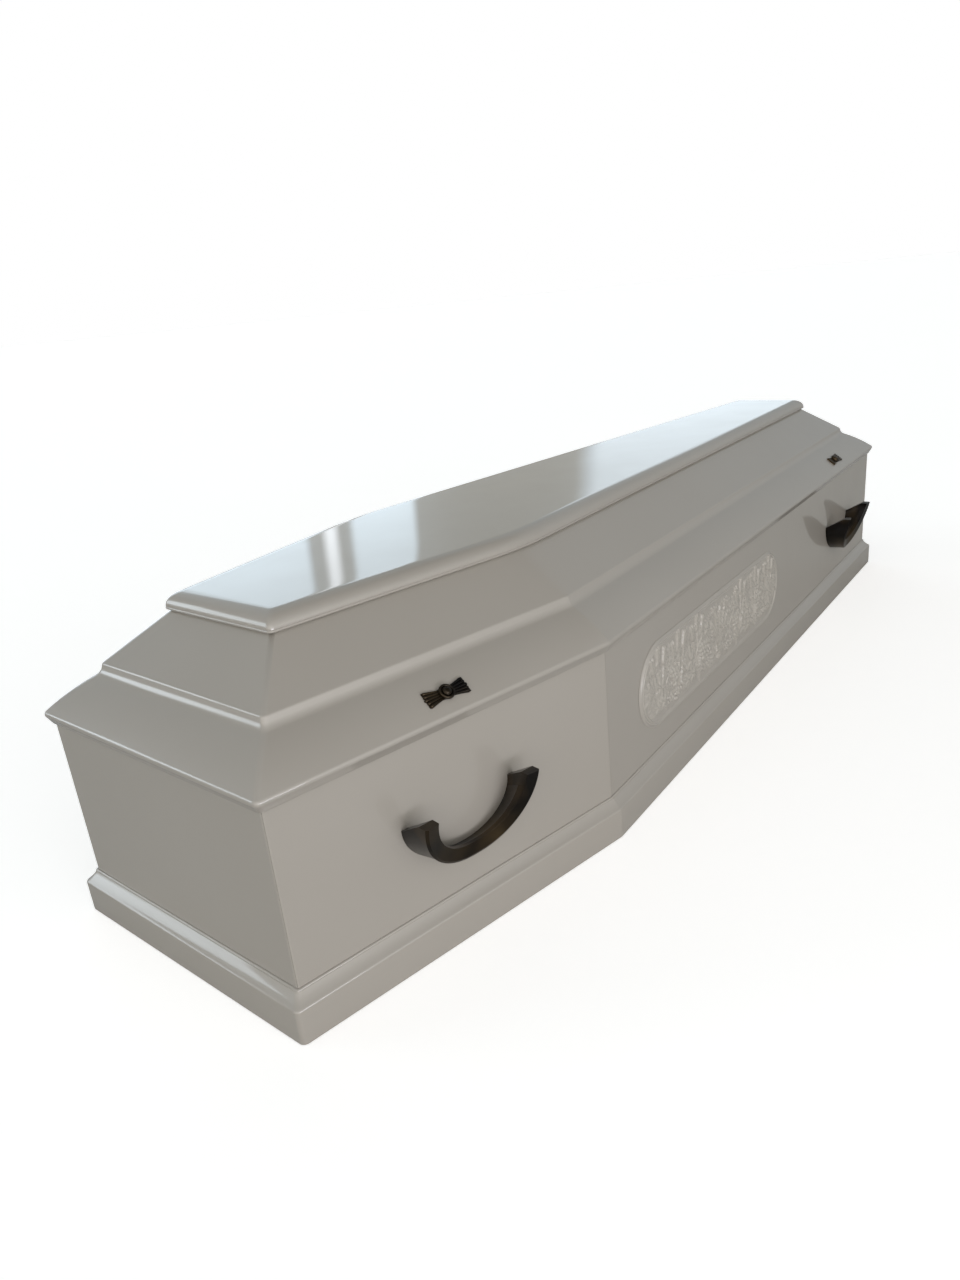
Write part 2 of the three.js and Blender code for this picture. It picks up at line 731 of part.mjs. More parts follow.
// Vine that swings from the sheaf to the end of the panel, with two leaves at each turn and, by turns, a bunch
// of berries or a large leaf inside the bend
function vine(side) {
  const pieces = [];
  const reach = reliefLength / 2 - reliefLineInset - vineEndMargin - vineStart;
  const at = (t) => ({
    x: side * (vineStart + reach * t),
    z: vineSwing * Math.sin(2 * Math.PI * vineWaves * t) - vineDrop,
  });
  const outward = (angle) => (side > 0 ? angle : Math.PI - angle);
  const line = Array.from({ length: vineSteps + 1 }, (_, i) => {
    const t = i / vineSteps;
    return { ...at(t), width: vineWidth * (1 - vineTaper * t), height: vineHeight };
  });
  pieces.push(ridge(side > 0 ? line : line.reverse(), motifBase));
  const turns = 2 * vineWaves;
  for (let turn = 0; turn < turns; turn += 1) {
    const crest = at((turn + 0.5) / turns);
    const up = turn % 2 === 0 ? 1 : -1;
    pieces.push(leaf(crest.x, crest.z, outward(up * 0.95), 0.8));
    pieces.push(leaf(crest.x, crest.z, outward(Math.PI - up * 0.6), 0.85));
    if (up > 0) {
      pieces.push(...bunch(crest.x, crest.z - bunchDrop));
    } else {
      pieces.push(leaf(crest.x, crest.z, outward(1.6), 1.25));
    }
  }
  const end = at(1);
  pieces.push(leaf(end.x, end.z, outward(0.6), 0.75));
  pieces.push(leaf(end.x, end.z, outward(-0.6), 0.75));
  return pieces;
}

function reliefGeometry() {
  const rim = raisedRing(ovalOutline, reliefRimWidth, motifBase, reliefGround + reliefRimHeight);
  const lineAt = (inset) => ovalOutline(reliefLineInset + inset);
  const line = raisedRing(lineAt, reliefLineWidth, motifBase, reliefGround + reliefLineHeight);
  return fuse([
    slab(ovalOutline(0), 0, -reliefGround),
    rim,
    line,
    ...sheaf(),
    ...vine(-1),
    ...vine(1),
  ]);
}

// Assembly
const coffin = new THREE.Group();
const box = new THREE.Group();
const lid = new THREE.Group();
coffin.add(box, lid);

function addPiece(parent, name, geometry, finish) {
  const mesh = new THREE.Mesh(geometry, new THREE.MeshStandardMaterial(finish));
  mesh.name = name;
  parent.add(mesh);
  return mesh;
}

// Group that stands on a board of the box: x along it, -y out of it, at a height above the floor. Its place
// is measured from the head corner or the shoulder, which is the end of the board on the left side.
function boardSeat(parent, index, distance, offset, height) {
  const edge = edgeAt(index);
  const isLeft = index > edgeCount / 2;
  const along = isLeft ? edge.length - distance : distance;
  const place = edge.start.clone().addScaledVector(edge.along, along).addScaledVector(edge.outward, offset);
  const seat = new THREE.Group();
  seat.position.set(place.x, place.y, height);
  seat.rotation.z = Math.atan2(edge.along.y, edge.along.x);
  parent.add(seat);
  return seat;
}

addPiece(box, 'box_bottom_board', bottomGeometry(), lacquer);
for (let index = 0; index < edgeCount; index += 1) {
  const name = edgeNames[index];
  addPiece(box, `box_board_${name}`, boardGeometry(index), lacquer);
  addPiece(box, `plinth_${name}`, sweep(plinthProfile(), (p) => edgePath(index, p.o, p.radius)), lacquer);
  const moulding = sweep(mouldingProfile(), (p) => edgePath(index, p.o, mouldingCornerRadius));
  addPiece(lid, `lid_moulding_${name}`, moulding, lacquer);
}
for (const index of [0, 3]) {
  const panel = sweep(slopeProfile(), (p) => edgePath(index, p.o, panelCornerRadius));
  addPiece(lid, `lid_slope_${edgeNames[index]}`, panel, lacquer);
}
for (const [index, side] of [[1, 'right'], [4, 'left']]) {
  const panel = sweep(slopeProfile(), (p) => bentPath(index, p.o, panelCornerRadius, p.bend));
  addPiece(lid, `lid_slope_${side}`, panel, lacquer);
}
addPiece(lid, 'lid_crown_board', crownGeometry(), lacquer);

// The plates lie square on the cushion of the lid
const plateSeat = cushionPoint(plateFromLip);
const plateProbe = 0.01;
const plateBefore = cushionPoint(plateFromLip - plateProbe);
const plateAfter = cushionPoint(plateFromLip + plateProbe);
const plateTilt = -Math.atan2(plateBefore.o - plateAfter.o, plateAfter.z - plateBefore.z);
for (const index of [1, 2, 4, 5]) {
  const name = edgeNames[index];
  const isHeadBoard = index === 1 || index === 5;
  const handlePlace = isHeadBoard ? handleFromHead : handleFromShoulder;
  const handleSeat = boardSeat(box, index, handlePlace, glueGap, handleTopHeight);
  addPiece(handleSeat, `handle_${name}`, handleGeometry(), bronze);
  const platePlace = isHeadBoard ? plateFromHead : plateFromShoulder;
  const lidSeat = boardSeat(lid, index, platePlace, plateSeat.o, plateSeat.z);
  const tilted = new THREE.Group();
  tilted.rotation.x = plateTilt;
  lidSeat.add(tilted);
  const plate = addPiece(tilted, `screw_plate_${name}`, plateGeometry(), bronze);
  plate.position.y = -glueGap;
  const knob = addPiece(tilted, `screw_knob_${name}`, knobGeometry(), bronze);
  knob.position.y = -plateThickness - 2 * glueGap;
}
for (const [index, side] of [[2, 'right'], [4, 'left']]) {
  const seat = boardSeat(box, index, reliefFromShoulder, glueGap, reliefHeight);
  addPiece(seat, `relief_panel_${side}`, reliefGeometry(), lacquer);
}

export default coffin;
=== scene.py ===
"""Dresses the coffin: lacquered boards and mouldings, cast fittings, carved oval panels and a plain stage."""
import math

import bmesh
import bpy
import numpy as np
from bpy.props import FloatProperty, FloatVectorProperty, PointerProperty
from mathutils import Matrix, Vector


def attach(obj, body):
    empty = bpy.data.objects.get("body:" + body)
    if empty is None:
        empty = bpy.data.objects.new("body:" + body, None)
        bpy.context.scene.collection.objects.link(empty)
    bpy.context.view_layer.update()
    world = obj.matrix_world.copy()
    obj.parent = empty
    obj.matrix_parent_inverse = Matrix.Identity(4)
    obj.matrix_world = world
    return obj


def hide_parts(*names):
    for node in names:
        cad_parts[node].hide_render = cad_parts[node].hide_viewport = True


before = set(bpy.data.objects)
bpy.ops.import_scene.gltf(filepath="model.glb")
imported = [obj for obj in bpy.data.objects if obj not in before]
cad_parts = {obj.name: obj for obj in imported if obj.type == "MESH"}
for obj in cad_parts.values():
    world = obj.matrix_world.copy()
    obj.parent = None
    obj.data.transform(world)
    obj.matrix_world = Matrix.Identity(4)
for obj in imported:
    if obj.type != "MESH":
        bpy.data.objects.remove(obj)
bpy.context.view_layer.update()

bl_info = {
    "name": "Carved coffin",
    "version": (1, 0, 0),
    "blender": (4, 5, 0),
    "location": "3D View > Sidebar > Coffin",
    "description": "Dresses the solids of a lacquered coffin with its finishes and fine shapes",
    "category": "Object",
}

MM = 0.001

# Radii and steps of the profiles, the same as in the solids
STRIP_CORNER = 8 * MM
BACK_CORNER = 3 * MM
TOE_RADIUS = 3 * MM
PLINTH_ARRIS = 4 * MM
PLINTH_LEDGE = 0.4 * MM
PLINTH_HOLLOW = 0.63 * MM
LIP_RADIUS = 6 * MM
LIP_HEIGHT = 13 * MM
LIP_FOLD, LIP_CROWN = -38, 52
STEP_RISE, STEP_LEAN = 18.5 * MM, 2.5 * MM
# Where the cove's arc starts and ends in the profile, in degrees
COVE_RADIUS, COVE_FOOT, COVE_TOP = 16 * MM, 242, 195
ARRIS_RADIUS = 5 * MM
MOULDING_THICKNESS = 18 * MM
LEDGE_MARGIN = 2 * MM
WALL = 20 * MM
BEND_LOW, BEND_HIGH = 90 * MM, 520 * MM
CROWN_BEAD, CROWN_QUIRK, CROWN_CORNER = 2 * MM, 0.6 * MM, 7 * MM
CROWN_RUN, CROWN_RISE = 26 * MM, 18 * MM
CORNER_STEPS, BEND_STEPS = 8, 24

# Handles, the same as in the solids but for their softened edges
HANDLE_FROM_HEAD, HANDLE_FROM_SHOULDER = 253 * MM, 1164 * MM
HANDLE_BACK_DROP, HANDLE_FRONT_DROP = 66 * MM, 88 * MM
HANDLE_BACK_WIDTH, HANDLE_BACK_HEIGHT = 10 * MM, 9 * MM
HANDLE_FRONT_WIDTH, HANDLE_FRONT_HEIGHT = 20 * MM, 18 * MM
HANDLE_BAR_DEPTH, HANDLE_TIP_DEPTH, HANDLE_LEDGE = 26 * MM, 38 * MM, 0.5 * MM
HORN_RISE, HORN_SHAPE = 22 * MM, 0.8
HANDLE_BEVEL, HANDLE_SOFTNESS = 3 * MM, 1 * MM
HANDLE_FULLNESS, HANDLE_STEPS = 2.05, 72

# Butterfly plates and lid screws
PLATE_FROM_HEAD, PLATE_FROM_SHOULDER = 260 * MM, 1166 * MM
# How far up the cushion a plate lies, as a share, and the step that finds the cushion's slope there
PLATE_UP_CUSHION, PLATE_PROBE = 0.37, 0.01
PLATE_END, PLATE_WAIST, PLATE_NECK, PLATE_THICKNESS = 11 * MM, 7.5 * MM, 10.5 * MM, 1.6 * MM
RING_RADIUS, RING_TUBE, RING_LIFT, RING_DOME = 8.7 * MM, 1.8 * MM, 1.9 * MM, 1.3
BOSS_BACK, BOSS_LIFT = 0.2 * MM, 0.6 * MM
REEDS, REED_WIDTH, REED_HEIGHT, REED_BACK = 5, 5 * MM, 3.2 * MM, 0.1 * MM
REED_OVERHANG, REED_STAGGER, REED_INSET, REED_OVERLAP = 1.5 * MM, 0.4, 0.3, 1.02
# Places along a reed as shares of its length, its rounded end and how its section swells up to there
REED_SPINE = (0.0, 0.25, 0.5, 0.7, 0.82, 0.9, 0.95, 0.98, 1.0)
REED_ROUND, REED_BLUNTNESS, REED_SWELL = 0.14, 0.02, 1.5
RING_SIDES, KNOB_SIDES, REED_SIDES = 40, 36, 8

# Carved panel, the same as in the solids, and the finer forms that only show here
# Mesh attribute with each point's share of the crest height, which drives the painted highlight on the
# carving
CREST = "crest_share"
RELIEF_FROM_SHOULDER = 412 * MM
RELIEF_COLUMNS, RELIEF_END_COLUMNS, RELIEF_ROWS = 432, 76, 150
TIP_TRIM = 0.02 * MM
# Height at which the crests' painted highlight is full, and how much rubbed-wear noise adds to it
CREST_HEIGHT, RUB_SHARE = 3.6 * MM, 0.3
RELIEF_GROUND = 2.4 * MM
RIM_START, RIM_WIDTH, RIM_HEIGHT = 3.4 * MM, 3.6 * MM, 1.1 * MM
EDGE_FADE, EDGE_START = 5.5 * MM, 0.12
FIELD_SEED, FIELD_PITCH, FIELD_SHIFT = 7, 11.5 * MM, 0.4
FIELD_INSET, FIELD_REACH = 15 * MM, 8 * MM
FIELD_SMALLEST, FIELD_LARGEST, LEAF_SHARE = 0.8, 1.25, 0.72
FIELD_LEAF = (17 * MM, 13 * MM, 2.3 * MM)
FIELD_BERRIES, FIELD_BERRY_SPREAD, FIELD_BERRY_SIZE = 3, 4.6 * MM, 0.62
LINE_INSET, LINE_WIDTH, LINE_HEIGHT = 8.6 * MM, 2.8 * MM, 1.4 * MM
PUNCH_PITCH, PUNCH_HEIGHT = 1.1 * MM, 0.9 * MM
PUNCH_DRIFT, PUNCH_DRIFT_PITCH = 1.3, 2.7 * PUNCH_PITCH
PUNCH_INSET, PUNCH_FADE = 17 * MM, 4 * MM
VINE_WAVES, VINE_SWING, VINE_START, VINE_END = 2, 21 * MM, 46 * MM, 30 * MM
VINE_DROP, VINE_TAPER, VINE_STEPS = 4 * MM, 0.45, 80
VINE_WIDTH, VINE_HEIGHT = 6 * MM, 3 * MM
# Where the small leaves and tendrils grow, past the middle of each crossing, as a share of the vine
CROSSING_SHIFT = 0.04
# Leaves of the vine: angle, part of the angle that swaps from wave to wave, length, width and height in mm
CROSSING_LEAVES = ((0, -0.7, 22, 20, 2.8), (0, 2.5, 20, 19, 2.8))
BEND_LEAVES = ((0, 0.95, 32, 30, 3.7), (math.pi, -0.6, 34, 31, 3.9))
TROUGH_LEAVES = ((1.6, 0, 48, 42, 4.3),)
END_LEAVES = ((0, 0.6, 30, 27, 3.4), (0, -0.6, 30, 27, 3.4))
# Tendrils: angle that swaps from wave to wave, size and way of the curl
TENDRILS = ((-1.35, 25 * MM, 1), (2.0, 23 * MM, -1))
TENDRIL_WIDTH, TENDRIL_HEIGHT = 2.4 * MM, 2.2 * MM
BERRY_RADIUS, BERRY_HEIGHT = 5.6 * MM, 4.2 * MM
BUNCH_ROWS, BUNCH_DROP, BUNCH_SPACING, BUNCH_PITCH = 4, 14 * MM, 9.4 * MM, 8.6 * MM
SHEAF_EARS, SHEAF_SPREAD, SHEAF_DROP, SHEAF_FOOT = 5, 0.3, 29 * MM, 23 * MM
SHEAF_STALK_REACH, SHEAF_STALK_WIDTH, SHEAF_STALK_HEIGHT = 26 * MM, 4 * MM, 2.4 * MM
BAND_HALF, BAND_PITCH, BAND_WIDTH, BAND_HEIGHT = 16 * MM, 3.5 * MM, 4 * MM, 3.8 * MM
EAR_START, EAR_START_STEP, EAR_PAIRS = 34 * MM, 3 * MM, 4
GRAIN_LENGTH, GRAIN_WIDTH, GRAIN_HEIGHT = 14 * MM, 6.4 * MM, 3.8 * MM
GRAIN_PITCH, GRAIN_LEAN = 7.2 * MM, 0.42
AWN_FROM, AWN_TO, AWN_LEAN = 0.8 * GRAIN_LENGTH, 1.9 * GRAIN_LENGTH, 0.8 * GRAIN_LEAN
AWN_WIDTH, AWN_HEIGHT = 1.8 * MM, 1.6 * MM
# Loose ears between the bends of the vine: places as shares of the half length, and the leans of each group
EAR_PLACES, EAR_LEANS = (0.31, 0.55, 0.79), (-0.2, 0.04, 0.26)
EAR_HEIGHT, EAR_FOOT, EAR_FOOT_SPREAD = 84 * MM, -30 * MM, 20 * MM
EAR_STALK_WIDTH, EAR_STALK_HEIGHT = 3.4 * MM, 3.4 * MM
EAR_PITCH, EAR_GRAIN_LEAN = 6.2 * MM, 0.34

# Stage
FLOOR_GLOW = 0.52
FLOOR_BOUNCE = "B8B6B2"
FLOOR_TONES, FLOOR_CLOUD = ("ECEAE7", "EFEDEA"), 1250 * MM
FLOOR_HALF = 300.0
SOFTBOX_SIZE = (1.6, 0.4)
SOFTBOX_POWER, SOFTBOX_TONE = 16.0, "F2F5FF"
SOFTBOX_PLACE, SOFTBOX_AIM = (-1.3, -2.2, 0.25), (-0.4, -0.3, 0.2)
# Soft light panels of the room: azimuths from +Y towards +X and heights over the horizon in degrees, how soft
# their edges are, colour and strength. The double band between the first two is the frame between two panels.
LIGHT_PANELS = (
    ((8.0, 38.5), (-2.0, 27.0), 0.35, "DCEBF5", 2.1),
    ((39.6, 40.4), (-2.0, 24.0), 0.35, "F0F4F8", 2.4),
    ((41.4, 45.6), (-2.0, 24.0), 0.35, "DCEBF5", 2.1),
    ((57.0, 72.0), (-2.0, 20.0), 1.0, "E2EEF6", 1.65),
    ((-48.0, -21.5), (5.0, 25.0), 1.0, "E2EEF6", 3.8),
)
# Darker stretches of wall between the panels
WALL_PANELS = (
    ((38.5, 57.0), (-4.0, 26.0), 0.5, "B6B5AE", 1.0),
    ((60.0, 150.0), (42.0, 80.0), 8.0, "C8C4BE", 0.2),
)
# Broad glow behind the camera, from its middle out to the plain light of the room
GLOW_FROM = (-0.64, -0.66, -0.4)
GLOW_EDGE, GLOW_CORE = -0.1, 0.85
ROOM_LIGHT, GLOW_LIGHT = ("E6EEF2", 0.43), ("FFFDFA", 1.75)
BACKGROUND_LIGHT = 1.0
# How soft the upper and lower edges of all panels are, in degrees
PANEL_FADE = 2.0
# Camera at the photograph's place, its angles in degrees: yaw from +Y towards +X, pitch down, roll clockwise
CAMERA_PLACE = (-1.4263, -0.9232, 0.7654)
CAMERA_ANGLES = (49.136, 21.014, 5.722)
CAMERA_LENS, CAMERA_SENSOR, CAMERA_REACH = 25.36, 36.0, 100.0

EDGE_NAMES = ("head", "right_head", "right_foot", "foot", "left_foot", "left_head")
BOARD_NODES = ["box_bottom_board"] + [f"box_board_{name}" for name in EDGE_NAMES]
# Edges by their place in EDGE_NAMES: those of the long sides, and those of them at the head
LONG_EDGES, HEAD_EDGES = (1, 2, 4, 5), (1, 5)


# Plan of the box and the sweeps that follow it

def box_corners(sizes):
    """Corners of the box counterclockwise from above, from the left head corner on."""
    end = sizes.body_length / 2
    shoulder = -end + sizes.shoulder_from_head
    head, wide, foot = sizes.head_width / 2, sizes.shoulder_width / 2, sizes.foot_width / 2
    return [np.array(p) for p in (
        (-end, head), (-end, -head), (shoulder, -wide), (end, -foot), (end, foot), (shoulder, wide))]


def edge_frame(sizes, index):
    """Start, direction, outward normal and length of one edge of the box."""
    corners = box_corners(sizes)
    start = corners[index % 6]
    step = corners[(index + 1) % 6] - start
    length = np.linalg.norm(step)
    along = step / length
    return start, along, np.array((along[1], -along[0])), length


def offset_corner(sizes, index, offset):
    """Corner of the outline that lies a given distance outside the box."""
    p0, d0, n0, _ = edge_frame(sizes, index - 1)
    p1, d1, n1, _ = edge_frame(sizes, index)
    p, q = p0 + n0 * offset, p1 + n1 * offset
    reach = np.linalg.solve(np.array((d0, -d1)).T, q - p)[0]
    return p + d0 * reach


def corner_arc(sizes, index, offset, radius, steps):
    """Arc that rounds an offset corner."""
    corner = offset_corner(sizes, index, offset)
    _, d0, n0, _ = edge_frame(sizes, index - 1)
    _, d1, _, _ = edge_frame(sizes, index)
    turn = math.acos(max(-1.0, min(1.0, float(d0 @ d1))))
    centre = corner - d0 * radius * math.tan(turn / 2) - n0 * radius
    first = math.atan2(n0[1], n0[0])
    angles = [first + turn * step / steps for step in range(steps + 1)]
    return [centre + radius * np.array((math.cos(a), math.sin(a))) for a in angles]


def edge_path(sizes, index, offset, radius, bend=None):
    """Path of a profile point along one edge, or with bend along two edges with a soft bend between them."""
    half = CORNER_STEPS // 2
    last = index + (2 if bend else 1)
    start = corner_arc(sizes, index, offset, radius, CORNER_STEPS)[half:]
    middle = corner_arc(sizes, index + 1, offset, bend, BEND_STEPS) if bend else []
    end = corner_arc(sizes, last, offset, radius, CORNER_STEPS)[:half + 1]
    gap = sizes.mitre_gap / 2
    start[0] = start[0] + edge_frame(sizes, index)[1] * gap
    end[-1] = end[-1] - edge_frame(sizes, last - 1)[1] * gap
    return start + middle + end


def profile_arc(o, z, ro, rz, first, last, steps):
    """Arc in a profile, angles in degrees, 0 outward and 90 up."""
    angles = np.radians(np.linspace(first, last, steps + 1))
    return [(o + ro * math.cos(a), z + rz * math.sin(a)) for a in angles]


# Mesh building

def mesh_object(name, verts, faces, material, sharp_degrees=32.0):
    """New object with smooth faces and sharp edges where its faces meet at more than the given angle."""
    mesh = bpy.data.meshes.new(name)
    mesh.from_pydata([tuple(map(float, v)) for v in verts], [], [tuple(map(int, f)) for f in faces])
    mesh.validate()
    mesh.materials.append(material)
    mesh.polygons.foreach_set("use_smooth", [True] * len(mesh.polygons))
    mesh.set_sharp_from_angle(angle=math.radians(sharp_degrees))
    piece = bpy.data.objects.new(name, mesh)
    bpy.context.scene.collection.objects.link(piece)
    return piece


def ring_skin(rings, closed_ends=True):
    """Vertices and faces of a skin over closed rings of equal length, with flat ends."""
    count = len(rings[0])
    verts = [v for ring in rings for v in ring]
    faces = []
    for r in range(len(rings) - 1):
        for i in range(count):
            a, b = r * count + i, r * count + (i + 1) % count
            faces.append((a, b, b + count, a + count))
    if closed_ends:
        last = (len(rings) - 1) * count
        faces.append(tuple(range(count))[::-1])
        faces.append(tuple(last + i for i in range(count)))
    return verts, faces


def outward(piece):
    """Turns the faces of a piece outward."""
    mesh = bmesh.new()
    mesh.from_mesh(piece.data)
    bmesh.ops.recalc_face_normals(mesh, faces=mesh.faces)
    mesh.to_mesh(piece.data)
    mesh.free()
    return piece


def swept_piece(name, profile, sizes, index, material):
    """Sweeps a profile along an edge of the box, or along two where its points give the bend between them."""
    paths = [edge_path(sizes, index, offset, *corner_and_bend) for offset, _, *corner_and_bend in profile]
    heights = [point[1] for point in profile]
    rings = [[(*spot, z) for spot, z in zip(spots, heights)] for spots in zip(*paths)]
    return outward(mesh_object(name, *ring_skin(rings), material))


def place_on_board(sizes, index, distance, offset, height, tilt=0.0):
    """Matrix of a seat on a board, x along it and -y out of it, measured from the head or the shoulder."""
    start, along, out, length = edge_frame(sizes, index)
    on_left = index > 3
    place = start + along * (length - distance if on_left else distance) + out * offset
    turn = math.atan2(along[1], along[0])
    return (Matrix.Translation((place[0], place[1], height)) @ Matrix.Rotation(turn, 4, "Z")
            @ Matrix.Rotation(tilt, 4, "X"))


def seated(seat, verts, lift=0.0):
    """Vertices of a fitting moved to its seat, lifted a little off it."""
    place = seat @ Matrix.Translation((0, -lift, 0))
    return [place @ Vector(v) for v in verts]


def finish_piece(piece, slot, *nodes):
    """Lets a piece ride with the coffin and stand for the named solids."""
    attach(piece, "root")
    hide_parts(*nodes)
    return piece


# Materials

def linear(hex_colour):
    """Linear RGBA of an sRGB hex colour."""
    channels = [int(hex_colour[i:i + 2], 16) / 255 for i in (0, 2, 4)]
    return tuple(c / 12.92 if c <= 0.04045 else ((c + 0.055) / 1.055) ** 2.4 for c in channels) + (1.0,)


def add_node(tree, kind, settings=None, values=None, links=None):
    """Adds a node, sets its properties and socket values, and links other nodes' outputs to its sockets."""
    node = tree.nodes.new(kind)
    for key, value in (settings or {}).items():
        setattr(node, key, value)
    for key, value in (values or {}).items():
        node.inputs[key].default_value = value
    for key, socket in (links or {}).items():
        tree.links.new(socket, node.inputs[key])
    return node


def new_material(name):
    """An empty material and its node tree."""
    material = bpy.data.materials.new(name)
    material.use_nodes = True
    material.node_tree.nodes.clear()
    return material, material.node_tree


def lacquer_material(finish):
    """Fibreboard with polished polyester lacquer, a soft greige body under a clear mirror coat."""
    material, tree = new_material("polished_greige_lacquer")
    place = add_node(tree, "ShaderNodeTexCoord").outputs["Object"]
    cloud = add_node(tree, "ShaderNodeTexNoise", values={"Scale": 1 / finish.cloud_size, "Detail": 3.0},
                     links={"Vector": place})
    tone = add_node(tree, "ShaderNodeMix", {"data_type": "RGBA"},
                    {6: (*finish.lacquer_shade, 1.0), 7: (*finish.lacquer_tone, 1.0)},
                    {0: cloud.outputs["Fac"]})
    peel = add_node(tree, "ShaderNodeTexNoise", values={"Scale": 1 / finish.peel_size, "Detail": 1.0},
                    links={"Vector": place})
    bump = add_node(tree, "ShaderNodeBump", values={"Strength": 0.04, "Distance": 0.2 * MM},
                    links={"Height": peel.outputs["Fac"]})
    wipe = add_node(tree, "ShaderNodeTexNoise", values={"Scale": 1 / finish.wipe_size, "Detail": 4.0},
                    links={"Vector": place})
    matt = add_node(tree, "ShaderNodeMapRange", values={"To Min": 0.3, "To Max": 0.42},
                    links={"Value": wipe.outputs["Fac"]})
    body = add_node(tree, "ShaderNodeBsdfPrincipled",
                    values={"IOR": 1.5, "Coat Weight": 1.0, "Coat Roughness": 0.03, "Coat IOR": 1.5},
                    links={"Base Color": tone.outputs[2], "Roughness": matt.outputs[0],
                           "Normal": bump.outputs[0]})
    add_node(tree, "ShaderNodeOutputMaterial", links={"Surface": body.outputs[0]})
    return material


def carving_material(finish):
    """The same lacquer, satin over the carving, with a painted highlight that makes its crests paler the
    higher they stand, mixed with a little rubbed wear, so that the relief shows.
    """
    material, tree = new_material("satin_greige_carving")
    place = add_node(tree, "ShaderNodeTexCoord").outputs["Object"]
    height = add_node(tree, "ShaderNodeAttribute", {"attribute_name": CREST})
    rub = add_node(tree, "ShaderNodeTexNoise", values={"Scale": 1 / finish.rub_size, "Detail": 3.0},
                   links={"Vector": place})
    # Painted highlight: each point's crest share (its height) plus a little rubbed-wear noise sets how much
    # paler tone it gets
    wear_and_crest_highlight = add_node(tree, "ShaderNodeMath", {"operation": "MULTIPLY_ADD"}, {1: RUB_SHARE},
                    {0: rub.outputs["Fac"], 2: height.outputs["Fac"]})
    fade = add_node(tree, "ShaderNodeMapRange", values={"From Min": 0.2, "From Max": 1.0},
                    links={"Value": wear_and_crest_highlight.outputs[0]})
    # Mixes the lacquer toward the paler tone of the painted highlight on the crests
    tone = add_node(tree, "ShaderNodeMix", {"data_type": "RGBA"},
                    {6: (*finish.lacquer_tone, 1.0), 7: (*finish.crest_highlight, 1.0)}, {0: fade.outputs[0]})
    grit = add_node(tree, "ShaderNodeTexNoise", values={"Scale": 1 / finish.grit_size, "Detail": 2.0},
                    links={"Vector": place})
    bump = add_node(tree, "ShaderNodeBump", values={"Strength": 0.12, "Distance": 0.2 * MM},
                    links={"Height": grit.outputs["Fac"]})
    body = add_node(tree, "ShaderNodeBsdfPrincipled",
                    values={"IOR": 1.5, "Roughness": 0.38, "Coat Weight": 0.35, "Coat Roughness": 0.22},
                    links={"Base Color": tone.outputs[2], "Normal": bump.outputs[0]})
    add_node(tree, "ShaderNodeOutputMaterial", links={"Surface": body.outputs[0]})
    return material


def bronze_material(finish):
    """Zinc casting, browned and clear-lacquered: near black in its lows, brown gold where it was rubbed."""
    material, tree = new_material("antique_bronze_casting")
    place = add_node(tree, "ShaderNodeTexCoord").outputs["Object"]
    rub = add_node(tree, "ShaderNodeTexNoise",
                   values={"Scale": 1 / finish.patina_size, "Detail": 2.0, "Roughness": 0.5},
                   links={"Vector": place})
    ramp = add_node(tree, "ShaderNodeValToRGB", links={"Fac": rub.outputs["Fac"]})
    stops = ((0.4, finish.bronze_low), (0.66, finish.bronze_high))
    for element, (stop, colour) in zip(ramp.color_ramp.elements, stops):
        element.position = stop
        element.color = (*colour, 1.0)
    grit = add_node(tree, "ShaderNodeTexNoise", values={"Scale": 1 / finish.grit_size, "Detail": 2.0},
                    links={"Vector": place})
    bump = add_node(tree, "ShaderNodeBump", values={"Strength": 0.08, "Distance": 0.2 * MM},
                    links={"Height": grit.outputs["Fac"]})
    matt = add_node(tree, "ShaderNodeMapRange", values={"To Min": 0.3, "To Max": 0.44},
                    links={"Value": rub.outputs["Fac"]})
    body = add_node(tree, "ShaderNodeBsdfPrincipled",
                    values={"Metallic": 0.9, "Coat Weight": 0.25, "Coat Roughness": 0.16},
                    links={"Base Color": ramp.outputs[0], "Roughness": matt.outputs[0],
                           "Normal": bump.outputs[0]})
    add_node(tree, "ShaderNodeOutputMaterial", links={"Surface": body.outputs[0]})
    return material


def floor_material():
    """White acrylic sheet of a light table: matt, lit from below, and dim where the lacquer mirrors it."""
    material, tree = new_material("white_acrylic_floor")
    place = add_node(tree, "ShaderNodeTexCoord").outputs["Object"]
    cloud = add_node(tree, "ShaderNodeTexNoise", values={"Scale": 1 / FLOOR_CLOUD, "Detail": 2.0},
                     links={"Vector": place})
    shade, pale = (linear(tone) for tone in FLOOR_TONES)
    tone = add_node(tree, "ShaderNodeMix", {"data_type": "RGBA"}, {6: shade, 7: pale},
                    {0: cloud.outputs["Fac"]})
    seen = add_node(tree, "ShaderNodeLightPath").outputs["Is Camera Ray"]
    colour = add_node(tree, "ShaderNodeMix", {"data_type": "RGBA"}, {6: linear(FLOOR_BOUNCE)},
                      {0: seen, 7: tone.outputs[2]})
    glow = add_node(tree, "ShaderNodeMath", {"operation": "MULTIPLY"}, {1: FLOOR_GLOW}, {0: seen})
    body = add_node(tree, "ShaderNodeBsdfPrincipled",
                    values={"Roughness": 0.9, "Specular IOR Level": 0.1,
                            "Emission Color": (1.0, 1.0, 1.0, 1.0)},
                    links={"Base Color": colour.outputs[2], "Emission Strength": glow.outputs[0]})
    add_node(tree, "ShaderNodeOutputMaterial", links={"Surface": body.outputs[0]})
    return material


def material_named(name, maker, *arguments):
    """The material of that name, made once."""
    return bpy.data.materials.get(name) or maker(*arguments)


# Profiles

